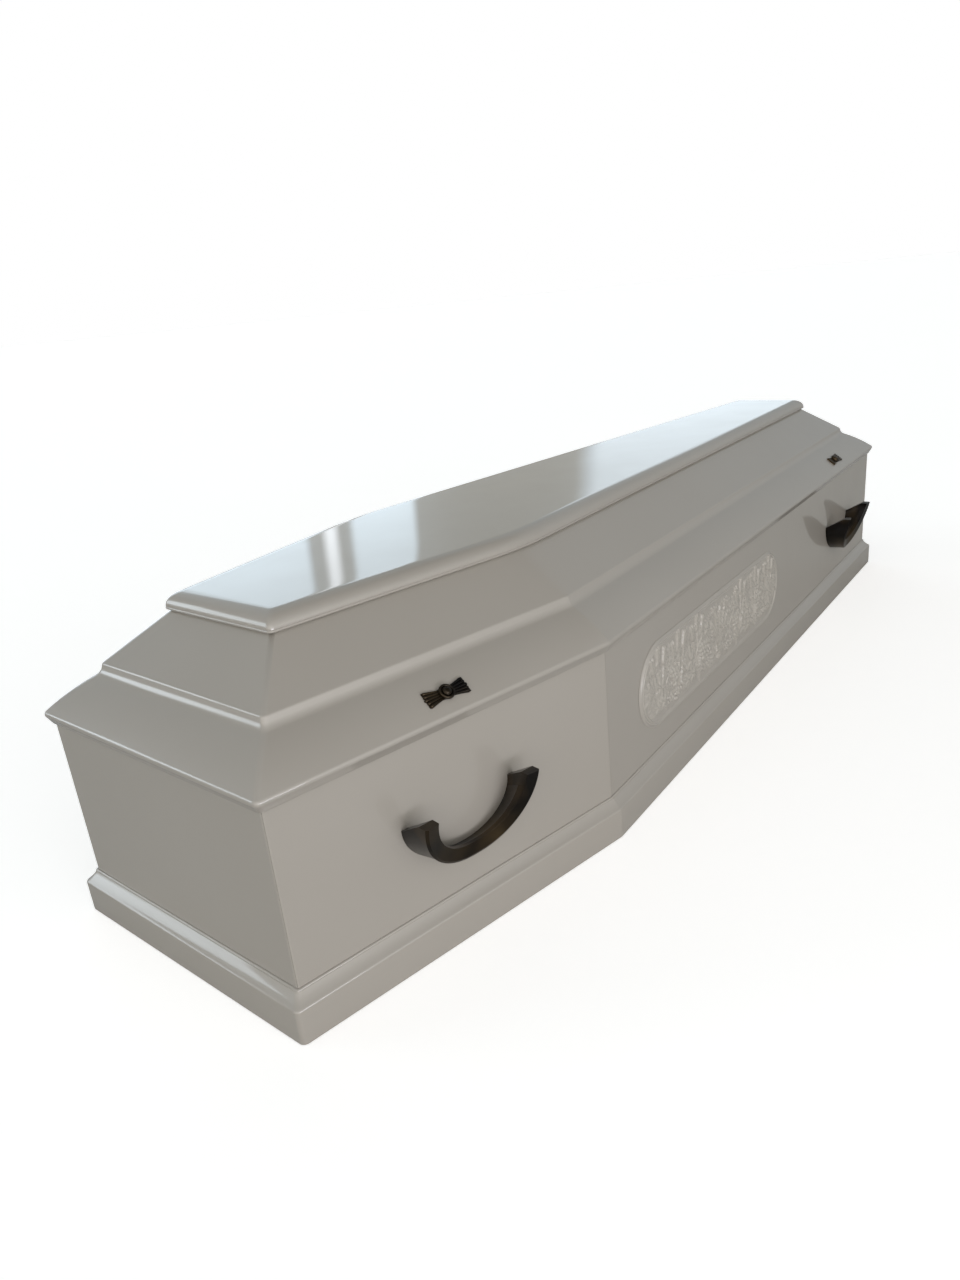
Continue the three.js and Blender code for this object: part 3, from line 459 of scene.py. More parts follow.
def plinth_profile(sizes):
    """Rounded toe, upright fascia, arris, a slightly hollow slope back to the board and a bead at the top."""
    thick, top, bead = sizes.plinth_thickness, sizes.plinth_height, sizes.plinth_bead
    toe = profile_arc(thick - TOE_RADIUS, TOE_RADIUS, TOE_RADIUS, TOE_RADIUS, -90, 0, 6)
    arris = profile_arc(thick - PLINTH_ARRIS, sizes.plinth_fascia, PLINTH_ARRIS, PLINTH_ARRIS, 0, 45, 8)
    start, foot = np.array(arris[-1]), np.array((sizes.glue_gap + bead + PLINTH_LEDGE, top - bead))
    shares = np.linspace(0, 1, 9)[1:]
    slope = [tuple(start + (foot - start) * t - PLINTH_HOLLOW * 4 * t * (1 - t)) for t in shares]
    top_bead = profile_arc(sizes.glue_gap, top - bead, bead, bead, 0, 90, 6)
    shown = [(o, z, STRIP_CORNER) for o, z in toe + arris + slope]
    back = [(o, z, BACK_CORNER) for o, z in top_bead + [(sizes.glue_gap, 0.0)]]
    return shown + back


def lid_profile(sizes):
    """Lip over the box, cushion, cove, step, arris and a ledge for the slopes; also the cushion's curve."""
    joint, run, rise = sizes.box_height, sizes.moulding_run, sizes.moulding_rise
    lip = (sizes.lip_overhang - LIP_RADIUS, joint + LIP_HEIGHT)
    angle = math.radians(LIP_CROWN)
    top = np.array((lip[0] + LIP_RADIUS * math.cos(angle), lip[1] + LIP_RADIUS * math.sin(angle)))
    cove = np.array((STEP_LEAN + COVE_RADIUS - run, joint + rise - STEP_RISE + COVE_RADIUS))
    turn = math.radians(COVE_FOOT)
    foot = cove + COVE_RADIUS * np.array((math.cos(turn), math.sin(turn)))
    chord = foot - top
    normal = np.array((chord[1], -chord[0])) / np.linalg.norm(chord)
    control = (top + foot) / 2 + normal * 2 * sizes.cushion_sag

    def cushion(t):
        return (1 - t) ** 2 * top + 2 * t * (1 - t) * control + t ** 2 * foot

    slope = math.atan2(sizes.slope_rise, sizes.slope_run)
    ledge = joint + rise
    inner = -(run + sizes.panel_thickness / math.sin(slope) + LEDGE_MARGIN)
    centre = (-run - ARRIS_RADIUS * math.sin(slope), ledge - ARRIS_RADIUS * math.cos(slope))

    def under(o):
        return top[1] + (o - top[0]) * chord[1] / chord[0] - MOULDING_THICKNESS / normal[1]

    points = [(-WALL, joint), (lip[0], joint)]
    points += profile_arc(*lip, LIP_RADIUS, LIP_RADIUS, LIP_FOLD, LIP_CROWN, 12)
    points += [tuple(cushion(t)) for t in np.linspace(0, 1, 15)[1:-1]]
    points += profile_arc(*cove, COVE_RADIUS, COVE_RADIUS, COVE_FOOT, COVE_TOP, 12)
    points += profile_arc(*centre, ARRIS_RADIUS, ARRIS_RADIUS, 12, 90 - math.degrees(slope), 10)
    points += [(inner, ledge), (inner, under(inner)), (-WALL, under(-WALL))]
    return [(o, z, STRIP_CORNER) for o, z in points], cushion


def slope_profile(sizes, bends):
    """Section of a sloping panel, a flat board; the panels of the long sides bend at the shoulder."""
    low, run = sizes.box_height + sizes.moulding_rise, sizes.moulding_run
    foot = sizes.panel_thickness / math.sin(math.atan2(sizes.slope_rise, sizes.slope_run))
    high, far = low + sizes.slope_rise, run + sizes.slope_run
    outer = [(-run, low, BEND_LOW), (-far, high, BEND_HIGH)]
    inner = [(o - foot, z, bend) for o, z, bend in reversed(outer)]
    return [(o, z, STRIP_CORNER, bend if bends else None) for o, z, bend in outer + inner]


def crown_profile(sizes):
    """Thin bead at the lower edge, then one long quarter round up to the flat top."""
    low = sizes.box_height + sizes.moulding_rise + sizes.slope_rise
    edge = -sizes.moulding_run - sizes.slope_run + sizes.crown_lip
    start = low + sizes.crown_thickness - CROWN_RISE
    return (profile_arc(edge - CROWN_BEAD, low + CROWN_BEAD, CROWN_BEAD, CROWN_BEAD, -90, 60, 10)
            + profile_arc(edge - CROWN_QUIRK - CROWN_RUN, start, CROWN_RUN, CROWN_RISE, 0, 90, 20))


def crown_outline(sizes, offset):
    """Outline of the crown at an offset, with tight corners at the ends and a soft bend at each shoulder."""
    outline = []
    for corner in range(6):
        at_shoulder = corner % 3 == 2
        radius, steps = (BEND_HIGH, BEND_STEPS) if at_shoulder else (CROWN_CORNER, CORNER_STEPS)
        outline += corner_arc(sizes, corner, offset, radius, steps)
    return outline


# Cast fittings

def hanging(angle, half, drop, fullness):
    """Lower half of a full oval, from the left end round the bottom to the right end."""
    power = 2 / fullness
    side = math.copysign(abs(math.cos(angle)) ** power, math.cos(angle))
    return -half * side, drop * abs(math.sin(angle)) ** power


def handle_rails(sizes):
    """Rails of the bar from the board round its front: half width, drop, share of the depth and rise."""
    half, stand = sizes.handle_half_width, sizes.handle_standout
    ledge, tip, rim = HANDLE_LEDGE / stand, HANDLE_TIP_DEPTH / stand, 1 - HANDLE_BEVEL / stand
    outer_back, outer_front = (half, HANDLE_BACK_DROP), (half, HANDLE_FRONT_DROP)
    inner_back = (half - HANDLE_BACK_WIDTH, HANDLE_BACK_DROP - HANDLE_BACK_HEIGHT)
    inner_front = (half - HANDLE_FRONT_WIDTH, HANDLE_FRONT_DROP - HANDLE_FRONT_HEIGHT)
    return (
        (*outer_back, 0.0, 0.0),
        (*outer_back, ledge, 0.0),
        (*outer_front, tip, HORN_RISE),
        (*outer_front, rim, HORN_RISE),
        (half - HANDLE_BEVEL, HANDLE_FRONT_DROP - HANDLE_BEVEL, 1.0, HORN_RISE),
        (*inner_front, rim, HORN_RISE),
        (*inner_front, tip, HORN_RISE),
        (*inner_back, ledge, 0.0),
        (*inner_back, 0.0, 0.0))


def handle_mesh(sizes):
    """Hanging crescent whose two horns rise away from the board, with a bevel round the front rim."""
    rails = handle_rails(sizes)
    rings = []
    for station in range(HANDLE_STEPS + 1):
        angle = math.pi * station / HANDLE_STEPS
        horn = (sizes.handle_standout - HANDLE_BAR_DEPTH) * (1 - math.sin(angle)) ** HORN_SHAPE
        ring = []
        for width, drop, share, rise in rails:
            x, fall = hanging(angle, width, drop, HANDLE_FULLNESS)
            ring.append((x, -(HANDLE_BAR_DEPTH + horn) * share, rise - fall))
        rings.append(ring)
    verts, faces = ring_skin(rings, closed_ends=False)
    last = HANDLE_STEPS * len(rails)
    cap = ((0, 1, 7, 8), (1, 2, 6, 7), (2, 3, 5, 6), (3, 4, 5))
    faces += [tuple(reversed(face)) for face in cap] + [tuple(last + i for i in face) for face in cap]
    return verts, faces


def soften(piece, width, segments=3, degrees=25):
    """Rounds the edges of a piece a little, as casting and polishing leave them."""
    bevel = piece.modifiers.new("soft_edges", "BEVEL")
    bevel.width = width
    bevel.segments = segments
    bevel.limit_method = "ANGLE"
    bevel.angle_limit = math.radians(degrees)
    bevel.harden_normals = False
    return piece


def join_parts(parts):
    """One list of vertices and faces from several."""
    verts, faces = [], []
    for part_verts, part_faces in parts:
        base = len(verts)
        verts += list(part_verts)
        faces += [tuple(base + i for i in face) for face in part_faces]
    return verts, faces


def reed_size(t):
    """Size of a reed's section, which swells along the reed and then rounds off."""
    swell = 0.5 + 0.5 * t ** REED_SWELL
    past = (t - 1 + REED_ROUND) / REED_ROUND
    return swell * math.sqrt(max(REED_BLUNTNESS, 1 - past ** 2)) if past > 0 else swell


def reed_mesh(root, tip, z_root, z_tip, side):
    """One reed of the fan, a tapering half-round that swells to a rounded end."""
    angles = [math.pi * k / REED_SIDES for k in range(REED_SIDES + 1)]
    base = PLATE_THICKNESS / 2
    rings = []
    for t in REED_SPINE:
        x, middle = side * (root + (tip - root) * t), z_root + (z_tip - z_root) * t
        height, reach = REED_HEIGHT * reed_size(t), REED_WIDTH * REED_OVERLAP / 2 * reed_size(t)
        ring = [(x, -base - height * math.sin(a), middle + reach * math.cos(a)) for a in angles]
        rings.append(ring + [(x, -REED_BACK, middle - reach), (x, -REED_BACK, middle + reach)])
    return ring_skin(rings)


def turned_mesh(profile, sides):
    """Body turned about the y axis from (radius, height) points, height out of the board."""
    turns = [2 * math.pi * k / sides for k in range(sides)]
    return ring_skin([[(radius * math.cos(a), -height, radius * math.sin(a)) for a in turns]
                      for radius, height in profile])


def torus_mesh(radius, tube, back, sides=RING_SIDES, steps=12):
    """Raised ring round the screw, a little higher than it is wide."""
    verts, faces = [], []
    for i in range(sides):
        a = 2 * math.pi * i / sides
        for j in range(steps):
            b = 2 * math.pi * j / steps
            reach = radius + tube * math.cos(b)
            verts.append((reach * math.cos(a), -back - tube * RING_DOME * math.sin(b), reach * math.sin(a)))
            faces.append((i * steps + j, i * steps + (j + 1) % steps,
                          (i + 1) % sides * steps + (j + 1) % steps, (i + 1) % sides * steps + j))
    return verts, faces


def plate_mesh(sizes):
    """Butterfly plate: a thin base, two fans of reeds and a raised ring round the seat of the screw."""
    half = sizes.plate_length / 2
    lower = [(-half, -PLATE_END), (-PLATE_NECK, -PLATE_WAIST), (PLATE_NECK, -PLATE_WAIST), (half, -PLATE_END)]
    outline = lower + [(x, -z) for x, z in reversed(lower)]
    parts = [ring_skin([[(x, y, z) for x, z in outline] for y in (0.0, -PLATE_THICKNESS)])]
    inset = REED_WIDTH * REED_INSET
    waist, end = PLATE_WAIST - inset, PLATE_END - inset
    for side in (-1, 1):
        for reed in range(REEDS):
            share = 2 * reed / (REEDS - 1) - 1
            tip = half + REED_OVERHANG - REED_WIDTH * REED_STAGGER * abs(share)
            parts.append(reed_mesh(RING_RADIUS, tip, share * waist, share * end, side))
    parts.append(torus_mesh(RING_RADIUS, RING_TUBE, PLATE_THICKNESS + RING_LIFT))
    boss = [(RING_RADIUS, BOSS_BACK), (RING_RADIUS, PLATE_THICKNESS + BOSS_LIFT)]
    parts.append(turned_mesh(boss, RING_SIDES))
    return join_parts(parts)


def knob_mesh():
    """Domed screw knob with a grooved rim on a collar, from radii and heights in mm."""
    collar = [(4.4, 0.0), (4.4, 1.6)]
    rim = [(5.5, 2.0), (6.0, 2.5), (6.0, 3.8), (5.6, 4.4), (5.0, 4.7)]
    dome = [(4.6, 4.7), (4.2, 5.2), (3.2, 5.7), (1.8, 5.95), (0.3, 6.0)]
    return turned_mesh([(r * MM, h * MM) for r, h in collar + rim + dome], KNOB_SIDES)


# Carved oval panel, as a height over the board in the panel's own plane

class Carving:
    """Height of the relief on a grid, to which motifs are added one by one."""

    def __init__(self, x, z, ground):
        self.x, self.z = x, z
        self.height = np.full(x.shape, ground)
        self.ground = ground

    def raise_to(self, height, where):
        """Keeps the higher of the old surface and a motif."""
        self.height = np.where(where, np.maximum(self.height, self.ground + height), self.height)

    def local(self, x, z, angle):
        """Grid coordinates along and across a motif's own axis."""
        dx, dz = self.x - x, self.z - z
        c, s = math.cos(angle), math.sin(angle)
        return dx * c + dz * s, -dx * s + dz * c

    def leaf(self, x, z, angle, length, width, height):
        """Lobed vine leaf with a midrib, side ribs and cupped lobes."""
        u, v = self.local(x, z, angle)
        u, v = u / length, v / width
        r = np.hypot(u - 0.42, v)
        theta = np.arctan2(v, u - 0.42)
        lobes = 0.47 + 0.085 * np.cos(5 * theta) + 0.02 * np.cos(15 * theta)
        edge = np.clip(1 - r / lobes, 0, 1)
        dome = np.sqrt(edge) * (0.75 + 0.25 * np.cos(5 * theta))
        midrib = np.exp(-(v / 0.022) ** 2)
        side_ribs = sum(np.exp(-((np.abs(v) - slant * (u - root)) / 0.03) ** 2) * (u > root)
                        for slant, root in ((0.75, 0.08), (0.7, 0.36)))
        ribs = np.clip(midrib + side_ribs, 0, 1)
        shape = dome * (1 - 0.28 * ribs) + 0.12 * ribs * (edge > 0.08)
        self.raise_to(height * shape, edge > 0)

    def berry(self, x, z, size=1.0):
        """Round berry with a small dimple at its blossom end."""
        r = np.hypot(self.x - x, self.z - z) / (BERRY_RADIUS * size)
        dome = np.sqrt(np.clip(1 - r ** 2, 0, 1)) - 0.12 * np.exp(-(r / 0.18) ** 2)
        self.raise_to(BERRY_HEIGHT * size * dome, r < 1)

    def grain(self, x, z, angle):
        """Wheat grain: a pointed oval with a groove along it."""
        u, v = self.local(x, z, angle)
        u, v = 2 * u / GRAIN_LENGTH - 1, 2 * v / GRAIN_WIDTH
        edge = np.clip(1 - u ** 2 - (v * (1 + 0.35 * u)) ** 2, 0, 1)
        self.raise_to(GRAIN_HEIGHT * np.sqrt(edge) * (1 - 0.22 * np.exp(-(v / 0.16) ** 2)), edge > 0)

    def awn(self, x, z, angle):
        """Fine bristle that stands out beyond a grain."""
        ends = ((AWN_FROM, 1.0), (AWN_TO, 0.5))
        line = [(x + math.cos(angle) * reach, z + math.sin(angle) * reach, share) for reach, share in ends]
        self.stem(line, AWN_WIDTH, AWN_HEIGHT)

    def stem(self, line, width, height):
        """Half-round stem along a line of points, tapering along it."""
        for (x0, z0, w0), (x1, z1, w1) in zip(line[:-1], line[1:]):
            dx, dz = x1 - x0, z1 - z0
            t = np.clip(((self.x - x0) * dx + (self.z - z0) * dz) / (dx * dx + dz * dz), 0, 1)
            share = w0 + (w1 - w0) * t
            near = np.hypot(self.x - x0 - dx * t, self.z - z0 - dz * t) / (width / 2 * share)
            twist = 1 + 0.08 * np.sin((self.x + self.z) / (1.6 * MM))
            self.raise_to(height * share * np.sqrt(np.clip(1 - near ** 2, 0, 1)) * twist, near < 1)


def sheaf_point(lean, distance):
    """Point on the axis of a leaning ear, at a distance from the band."""
    return math.sin(lean) * distance, math.cos(lean) * distance - SHEAF_DROP


def carve_sheaf(work):
    """Sheaf of wheat in the middle of the panel, bound with a band."""
    for ear in range(SHEAF_EARS):
        share = ear - (SHEAF_EARS - 1) / 2
        lean = share * SHEAF_SPREAD
        start = EAR_START - EAR_START_STEP * abs(share)
        stalk = ((-SHEAF_FOOT, 0.8), (0, 1.0), (start + SHEAF_STALK_REACH, 0.6))
        line = [(*sheaf_point(lean, distance), width) for distance, width in stalk]
        work.stem(line, SHEAF_STALK_WIDTH, SHEAF_STALK_HEIGHT)
        upward = math.pi / 2 - lean
        for pair in range(EAR_PAIRS):
            seat = sheaf_point(lean, start + pair * GRAIN_PITCH)
            for side in (-1, 1):
                work.grain(*seat, upward + side * GRAIN_LEAN)
                work.awn(*seat, upward + side * AWN_LEAN)
        work.grain(*sheaf_point(lean, start + EAR_PAIRS * GRAIN_PITCH), upward)
    for row in (-BAND_PITCH, 0.0, BAND_PITCH):
        line = [(end, row - SHEAF_DROP, 1.0) for end in (-BAND_HALF, BAND_HALF)]
        work.stem(line, BAND_WIDTH, BAND_HEIGHT)


def tendril(x, z, angle, size, side):
    """Points of a thin stem that curls in on itself, each with its share of the stem's width."""
    points = []
    for t in np.linspace(0, 1, 16):
        turn = angle + side * 5.2 * t ** 1.4
        reach = size * (0.25 + 0.75 * math.sin(math.pi * min(1.0, 0.5 + t / 2)))
        points.append((x + size * t * math.cos(angle) + reach * 0.4 * math.sin(turn) * t,
                       z + size * t * math.sin(angle) - reach * 0.4 * math.cos(turn) * t, 1 - 0.6 * t))
    return points


def carve_vine(work, sizes, side):
    """Vine from the sheaf to the panel's end, with leaves, bunches of berries and tendrils at its turns."""
    reach = sizes.relief_length / 2 - LINE_INSET - VINE_END - VINE_START
    turns = 2 * VINE_WAVES

    def at(t):
        return side * (VINE_START + reach * t), VINE_SWING * math.sin(math.pi * turns * t) - VINE_DROP

    def toward(angle):
        return angle if side > 0 else math.pi - angle

    def grow(x, z, up, leaves):
        for angle, lean, *size in leaves:
            work.leaf(x, z, toward(angle + up * lean), *(length * MM for length in size))

    for turn in range(turns + 1):
        x, z = at(min(turn / turns + CROSSING_SHIFT, 1.0))
        up = 1 if turn % 2 == 0 else -1
        for lean, size, curl in TENDRILS:
            line = tendril(x, z, toward(up * lean), size, side * up * curl)
            work.stem(line, TENDRIL_WIDTH, TENDRIL_HEIGHT)
        grow(x, z, up, CROSSING_LEAVES)
    work.stem([(*at(t), 1 - VINE_TAPER * t) for t in np.linspace(0, 1, VINE_STEPS)], VINE_WIDTH, VINE_HEIGHT)
    for turn in range(turns):
        x, z = at((turn + 0.5) / turns)
        up = 1 if turn % 2 == 0 else -1
        grow(x, z, up, BEND_LEAVES)
        if up > 0:
            for row in range(BUNCH_ROWS):
                for i in range(BUNCH_ROWS - row):
                    aside = (i - (BUNCH_ROWS - 1 - row) / 2) * BUNCH_SPACING
                    work.berry(x + aside, z - BUNCH_DROP - row * BUNCH_PITCH)
        else:
            grow(x, z, up, TROUGH_LEAVES)
    grow(*at(1.0), 1, END_LEAVES)


def carve_field(work, sizes, rng):
    """Small leaves and berries that crowd the ground between the main forms, mirrored about the middle."""
    half, radius = sizes.relief_length / 2, sizes.relief_width / 2
    for x in np.arange(FIELD_PITCH / 2, half, FIELD_PITCH):
        for z in np.arange(-radius, radius, FIELD_PITCH):
            px = x + rng.uniform(-FIELD_SHIFT, FIELD_SHIFT) * FIELD_PITCH
            pz = z + rng.uniform(-FIELD_SHIFT, FIELD_SHIFT) * FIELD_PITCH
            angle = rng.uniform(0, 2 * math.pi)
            size = rng.uniform(FIELD_SMALLEST, FIELD_LARGEST)
            is_leaf = rng.random() < LEAF_SHARE
            if radius - math.hypot(max(px - half + radius, 0.0), pz) < FIELD_INSET + FIELD_REACH * size:
                continue
            for side in (-1, 1):
                if is_leaf:
                    toward = angle if side > 0 else math.pi - angle
                    work.leaf(side * px, pz, toward, *(length * size for length in FIELD_LEAF))
                else:
                    for berry in range(FIELD_BERRIES):
                        part = angle + berry * 2 * math.pi / FIELD_BERRIES
                        work.berry(side * (px + FIELD_BERRY_SPREAD * math.cos(part)),
                                   pz + FIELD_BERRY_SPREAD * math.sin(part), FIELD_BERRY_SIZE)


def carve_ears(work, sizes):
    """Loose wheat ears that stand between the bends of the vine, each on its stalk."""
    for place in EAR_PLACES:
        for side in (-1, 1):
            x = side * place * sizes.relief_length / 2
            for lean in EAR_LEANS:
                tall = EAR_HEIGHT * (1 - 0.5 * abs(lean))
                upward = np.array((side * math.sin(lean), math.cos(lean)))
                foot = np.array((x + side * lean * EAR_FOOT_SPREAD, EAR_FOOT))
                head = foot + tall * upward
                work.stem([(*foot, 1.0), (*head, 0.7)], EAR_STALK_WIDTH, EAR_STALK_HEIGHT)
                for pair in range(EAR_PAIRS):
                    seat = head + (pair - EAR_PAIRS + 1) * EAR_PITCH * upward
                    for twist in (-1, 1):
                        work.grain(*seat, math.pi / 2 - side * lean + twist * EAR_GRAIN_LEAN)


def relief_grid(sizes):
    """Grid over the oval, its columns closer at the ends; also how far inside the edge each point lies."""
    radius = sizes.relief_width / 2
    straight = sizes.relief_length / 2 - radius
    middle = np.linspace(-straight, straight, RELIEF_COLUMNS)
    ends = radius * np.sin(np.linspace(0, math.pi / 2, RELIEF_END_COLUMNS)[1:])
    columns = np.concatenate((-straight - ends[::-1], middle, straight + ends))
    columns[[0, -1]] += np.array((TIP_TRIM, -TIP_TRIM))
    beyond = np.clip(np.abs(columns) - straight, 0, radius)
    half = np.sqrt(radius ** 2 - beyond ** 2)
    rows = np.linspace(-1, 1, RELIEF_ROWS)
    x = np.repeat(columns[:, None], len(rows), 1)
    z = half[:, None] * rows[None, :]
    return x, z, radius - np.hypot(np.clip(np.abs(x) - straight, 0, None), z)


def carved_oval(sizes):
    """The whole relief: motifs, punched ground, rim and inner line, lower toward the edge of the oval."""
    x, z, inset = relief_grid(sizes)
    work = Carving(x, z, RELIEF_GROUND)
    carve_field(work, sizes, np.random.default_rng(FIELD_SEED))
    carve_ears(work, sizes)
    carve_sheaf(work)
    for side in (-1, 1):
        carve_vine(work, sizes, side)
    within = np.clip((inset - PUNCH_INSET) / PUNCH_FADE, 0, 1)
    drift = PUNCH_DRIFT * np.sin(x / PUNCH_DRIFT_PITCH)
    punched = np.clip(np.sin(x / PUNCH_PITCH) * np.sin(z / PUNCH_PITCH + drift), 0, 1)
    work.height = np.maximum(work.height, RELIEF_GROUND + PUNCH_HEIGHT * punched * within)
    for start, width, height in ((RIM_START, RIM_WIDTH, RIM_HEIGHT), (LINE_INSET, LINE_WIDTH, LINE_HEIGHT)):
        across = np.clip(1 - ((inset - start - width / 2) / (width / 2)) ** 2, 0, 1)
        work.height = np.maximum(work.height, RELIEF_GROUND + height * np.sqrt(across))
    ramp = np.clip(inset / EDGE_FADE, 0, 1)
    work.height *= EDGE_START + (1 - EDGE_START) * ramp * ramp * (3 - 2 * ramp)
    return work


def relief_mesh(sizes):
    """Oval panel as a fine skin with its edge wall and flat back; also each point's share of full height."""
    work = carved_oval(sizes)
    x, z = work.x, work.z
    nx, nz = x.shape
    front = np.stack((x, -work.height, z), -1).reshape(-1, 3)
    corner = (np.arange(nx - 1)[:, None] * nz + np.arange(nz - 1)).ravel()
    faces = np.stack((corner, corner + nz, corner + nz + 1, corner + 1), -1).tolist()
    border = ([(i, 0) for i in range(nx)] + [(nx - 1, j) for j in range(1, nz)]
              + [(i, nz - 1) for i in range(nx - 2, -1, -1)] + [(0, j) for j in range(nz - 2, 0, -1)])
    base, count = len(front), len(border)
    back = [(x[i, j], 0.0, z[i, j]) for i, j in border]
    for k, (i, j) in enumerate(border):
        n = (k + 1) % count
        faces.append((i * nz + j, base + k, base + n, border[n][0] * nz + border[n][1]))
    faces.append(tuple(base + k for k in range(count)))
    share = np.clip((work.height - RELIEF_GROUND) / CREST_HEIGHT, 0, 1).ravel()
    return front.tolist() + back, faces, np.concatenate((share, np.zeros(count)))


# Settings

def length_property(label, description, millimetres):
    """A length in the sidebar, given in mm."""
    return FloatProperty(name=label, description=description, default=millimetres * MM, min=0.0,
                         unit="LENGTH", subtype="DISTANCE", precision=4)


class CoffinSizes(bpy.types.PropertyGroup):
    """Sizes of the coffin's visible pieces, the same as in its solids."""

    body_length: length_property("Body length", "Length of the box on its boards", 1950)
    head_width: length_property("Head width", "Width of the box at the head end", 430)
    shoulder_width: length_property("Shoulder width", "Width of the box at the shoulder", 610)
    foot_width: length_property("Foot width", "Width of the box at the foot end", 420)
    shoulder_from_head: length_property("Shoulder place", "Distance from the head end to the shoulder", 520)
    box_height: length_property("Box height", "Height of the joint between box and lid", 293)
    mitre_gap: length_property("Mitre gap", "Filled joint between two mitred strips", 0.06)
    glue_gap: length_property("Glue gap", "Gap between a strip and its board", 0.3)
    plinth_height: length_property("Plinth height", "Height of the plinth", 64.5)
    plinth_fascia: length_property("Plinth fascia", "Height of the plinth's upright face", 46)
    plinth_thickness: length_property("Plinth thickness", "How far the plinth stands out", 16.2)
    plinth_bead: length_property("Plinth bead", "Radius of the bead on top of the plinth", 2.6)
    lip_overhang: length_property("Lip overhang", "How far the lid stands out over the box", 9.2)
    moulding_rise: length_property("Moulding rise", "Height of the lid's lower moulding", 72.5)
    moulding_run: length_property("Moulding run", "How far the lower moulding steps in", 58)
    cushion_sag: length_property("Cushion crown", "Bulge of the cushion of the lower moulding", 2.1)
    slope_rise: length_property("Slope rise", "Height of the sloping panels", 58.5)
    slope_run: length_property("Slope run", "How far the sloping panels step in", 77.3)
    panel_thickness: length_property("Panel thickness", "Thickness of the sloping panels", 16)
    crown_thickness: length_property("Crown thickness", "Thickness of the flat crown board", 22)
    crown_lip: length_property("Crown lip", "How far the crown stands out over the slopes", 7.5)
    handle_half_width: length_property("Handle half width", "Half the width of a handle", 90)
    handle_standout: length_property("Handle standout", "How far a handle's horns stand out", 53)
    handle_height: length_property("Handle height", "Height of a handle's top at the board", 188)
    plate_length: length_property("Plate length", "Length of a butterfly plate", 62)
    relief_length: length_property("Relief length", "Length of the carved oval panel", 630)
    relief_width: length_property("Relief width", "Height of the carved oval panel", 143)
    relief_height: length_property("Relief place", "Height of the middle of the carved panel", 176)


def colour_property(label, description, hex_colour):
    """A colour in the sidebar, given as sRGB hex."""
    return FloatVectorProperty(name=label, description=description, subtype="COLOR", size=3,
                               min=0.0, max=1.0, default=linear(hex_colour)[:3])


class CoffinFinish(bpy.types.PropertyGroup):
    """Colours and scales of the finishes."""

    lacquer_tone: colour_property("Lacquer", "Body colour of the lacquer", "AAA49B")
    lacquer_shade: colour_property("Lacquer shade", "Slightly darker clouds in the lacquer", "A49D93")
    # Painted highlight: the paler tone laid on the carving's crests according to their height
    crest_highlight: colour_property("Carving crests", "Paler lacquer on the crests of the carving", "B0AAA0")
    bronze_low: colour_property("Bronze lows", "Dark patina of the castings", "15110F")
    bronze_high: colour_property("Bronze highs", "Rubbed bronze of the castings", "4A3C27")
    cloud_size: length_property("Tone clouds", "Width of the faint clouds in the lacquer's tone", 350)
    wipe_size: length_property("Polishing marks", "Width of the areas that polishing leaves glossier", 90)
    peel_size: length_property("Orange peel", "Width of the ripples that spraying leaves in the lacquer", 3)
    rub_size: length_property("Rubbed patches", "Width of the patches where the carving is rubbed paler", 18)
    patina_size: length_property("Patina clouds", "Width of the light and dark areas of the castings", 75)
    grit_size: length_property("Casting grain", "Grain of the castings and of the carving", 1.2)


# Operators

class CoffinOperator:
    """What the operators share."""

    bl_options = {"REGISTER", "UNDO"}

    def lacquer(self):
        return material_named("polished_greige_lacquer", lacquer_material, bpy.context.scene.coffin_finish)

    def carving(self):
        return material_named("satin_greige_carving", carving_material, bpy.context.scene.coffin_finish)

    def bronze(self):
        return material_named("antique_bronze_casting", bronze_material, bpy.context.scene.coffin_finish)


class COFFIN_OT_boards(CoffinOperator, bpy.types.Operator):
    """Lacquer the boards of the box"""

    bl_idname = "coffin.boards"
    bl_label = "Box boards"

    def execute(self, context):
        for node in BOARD_NODES:
            board = bpy.data.objects[node]
            board.data.materials.clear()
            board.data.materials.append(self.lacquer())
        return {"FINISHED"}


class COFFIN_OT_plinth(CoffinOperator, bpy.types.Operator):
    """Run the plinth round the foot of the box"""

    bl_idname = "coffin.plinth"
    bl_label = "Plinth"

    def execute(self, context):
        sizes = context.scene.coffin_sizes
        for index, name in enumerate(EDGE_NAMES):
            strip = swept_piece(f"plinth_strip_{name}", plinth_profile(sizes), sizes, index, self.lacquer())
            finish_piece(strip, "lacquer", f"plinth_{name}")
        return {"FINISHED"}


class COFFIN_OT_lid(CoffinOperator, bpy.types.Operator):
    """Build the lid: lower moulding, sloping panels and crown board"""

    bl_idname = "coffin.lid"
    bl_label = "Lid"

    def execute(self, context):
        sizes = context.scene.coffin_sizes
        profile, _ = lid_profile(sizes)
        for index, name in enumerate(EDGE_NAMES):
            strip = swept_piece(f"lid_strip_{name}", profile, sizes, index, self.lacquer())
            finish_piece(strip, "lacquer", f"lid_moulding_{name}")
        for index, name in ((0, "head"), (3, "foot"), (1, "right"), (4, "left")):
            section = slope_profile(sizes, bends=index in LONG_EDGES)
            panel = swept_piece(f"slope_panel_{name}", section, sizes, index, self.lacquer())
            finish_piece(panel, "lacquer", f"lid_slope_{name}")
        rings = [[(*spot, z) for spot in crown_outline(sizes, o)] for o, z in crown_profile(sizes)]
        crown = outward(mesh_object("crown_board", *ring_skin(rings), self.lacquer()))
        finish_piece(crown, "lacquer", "lid_crown_board")
        return {"FINISHED"}


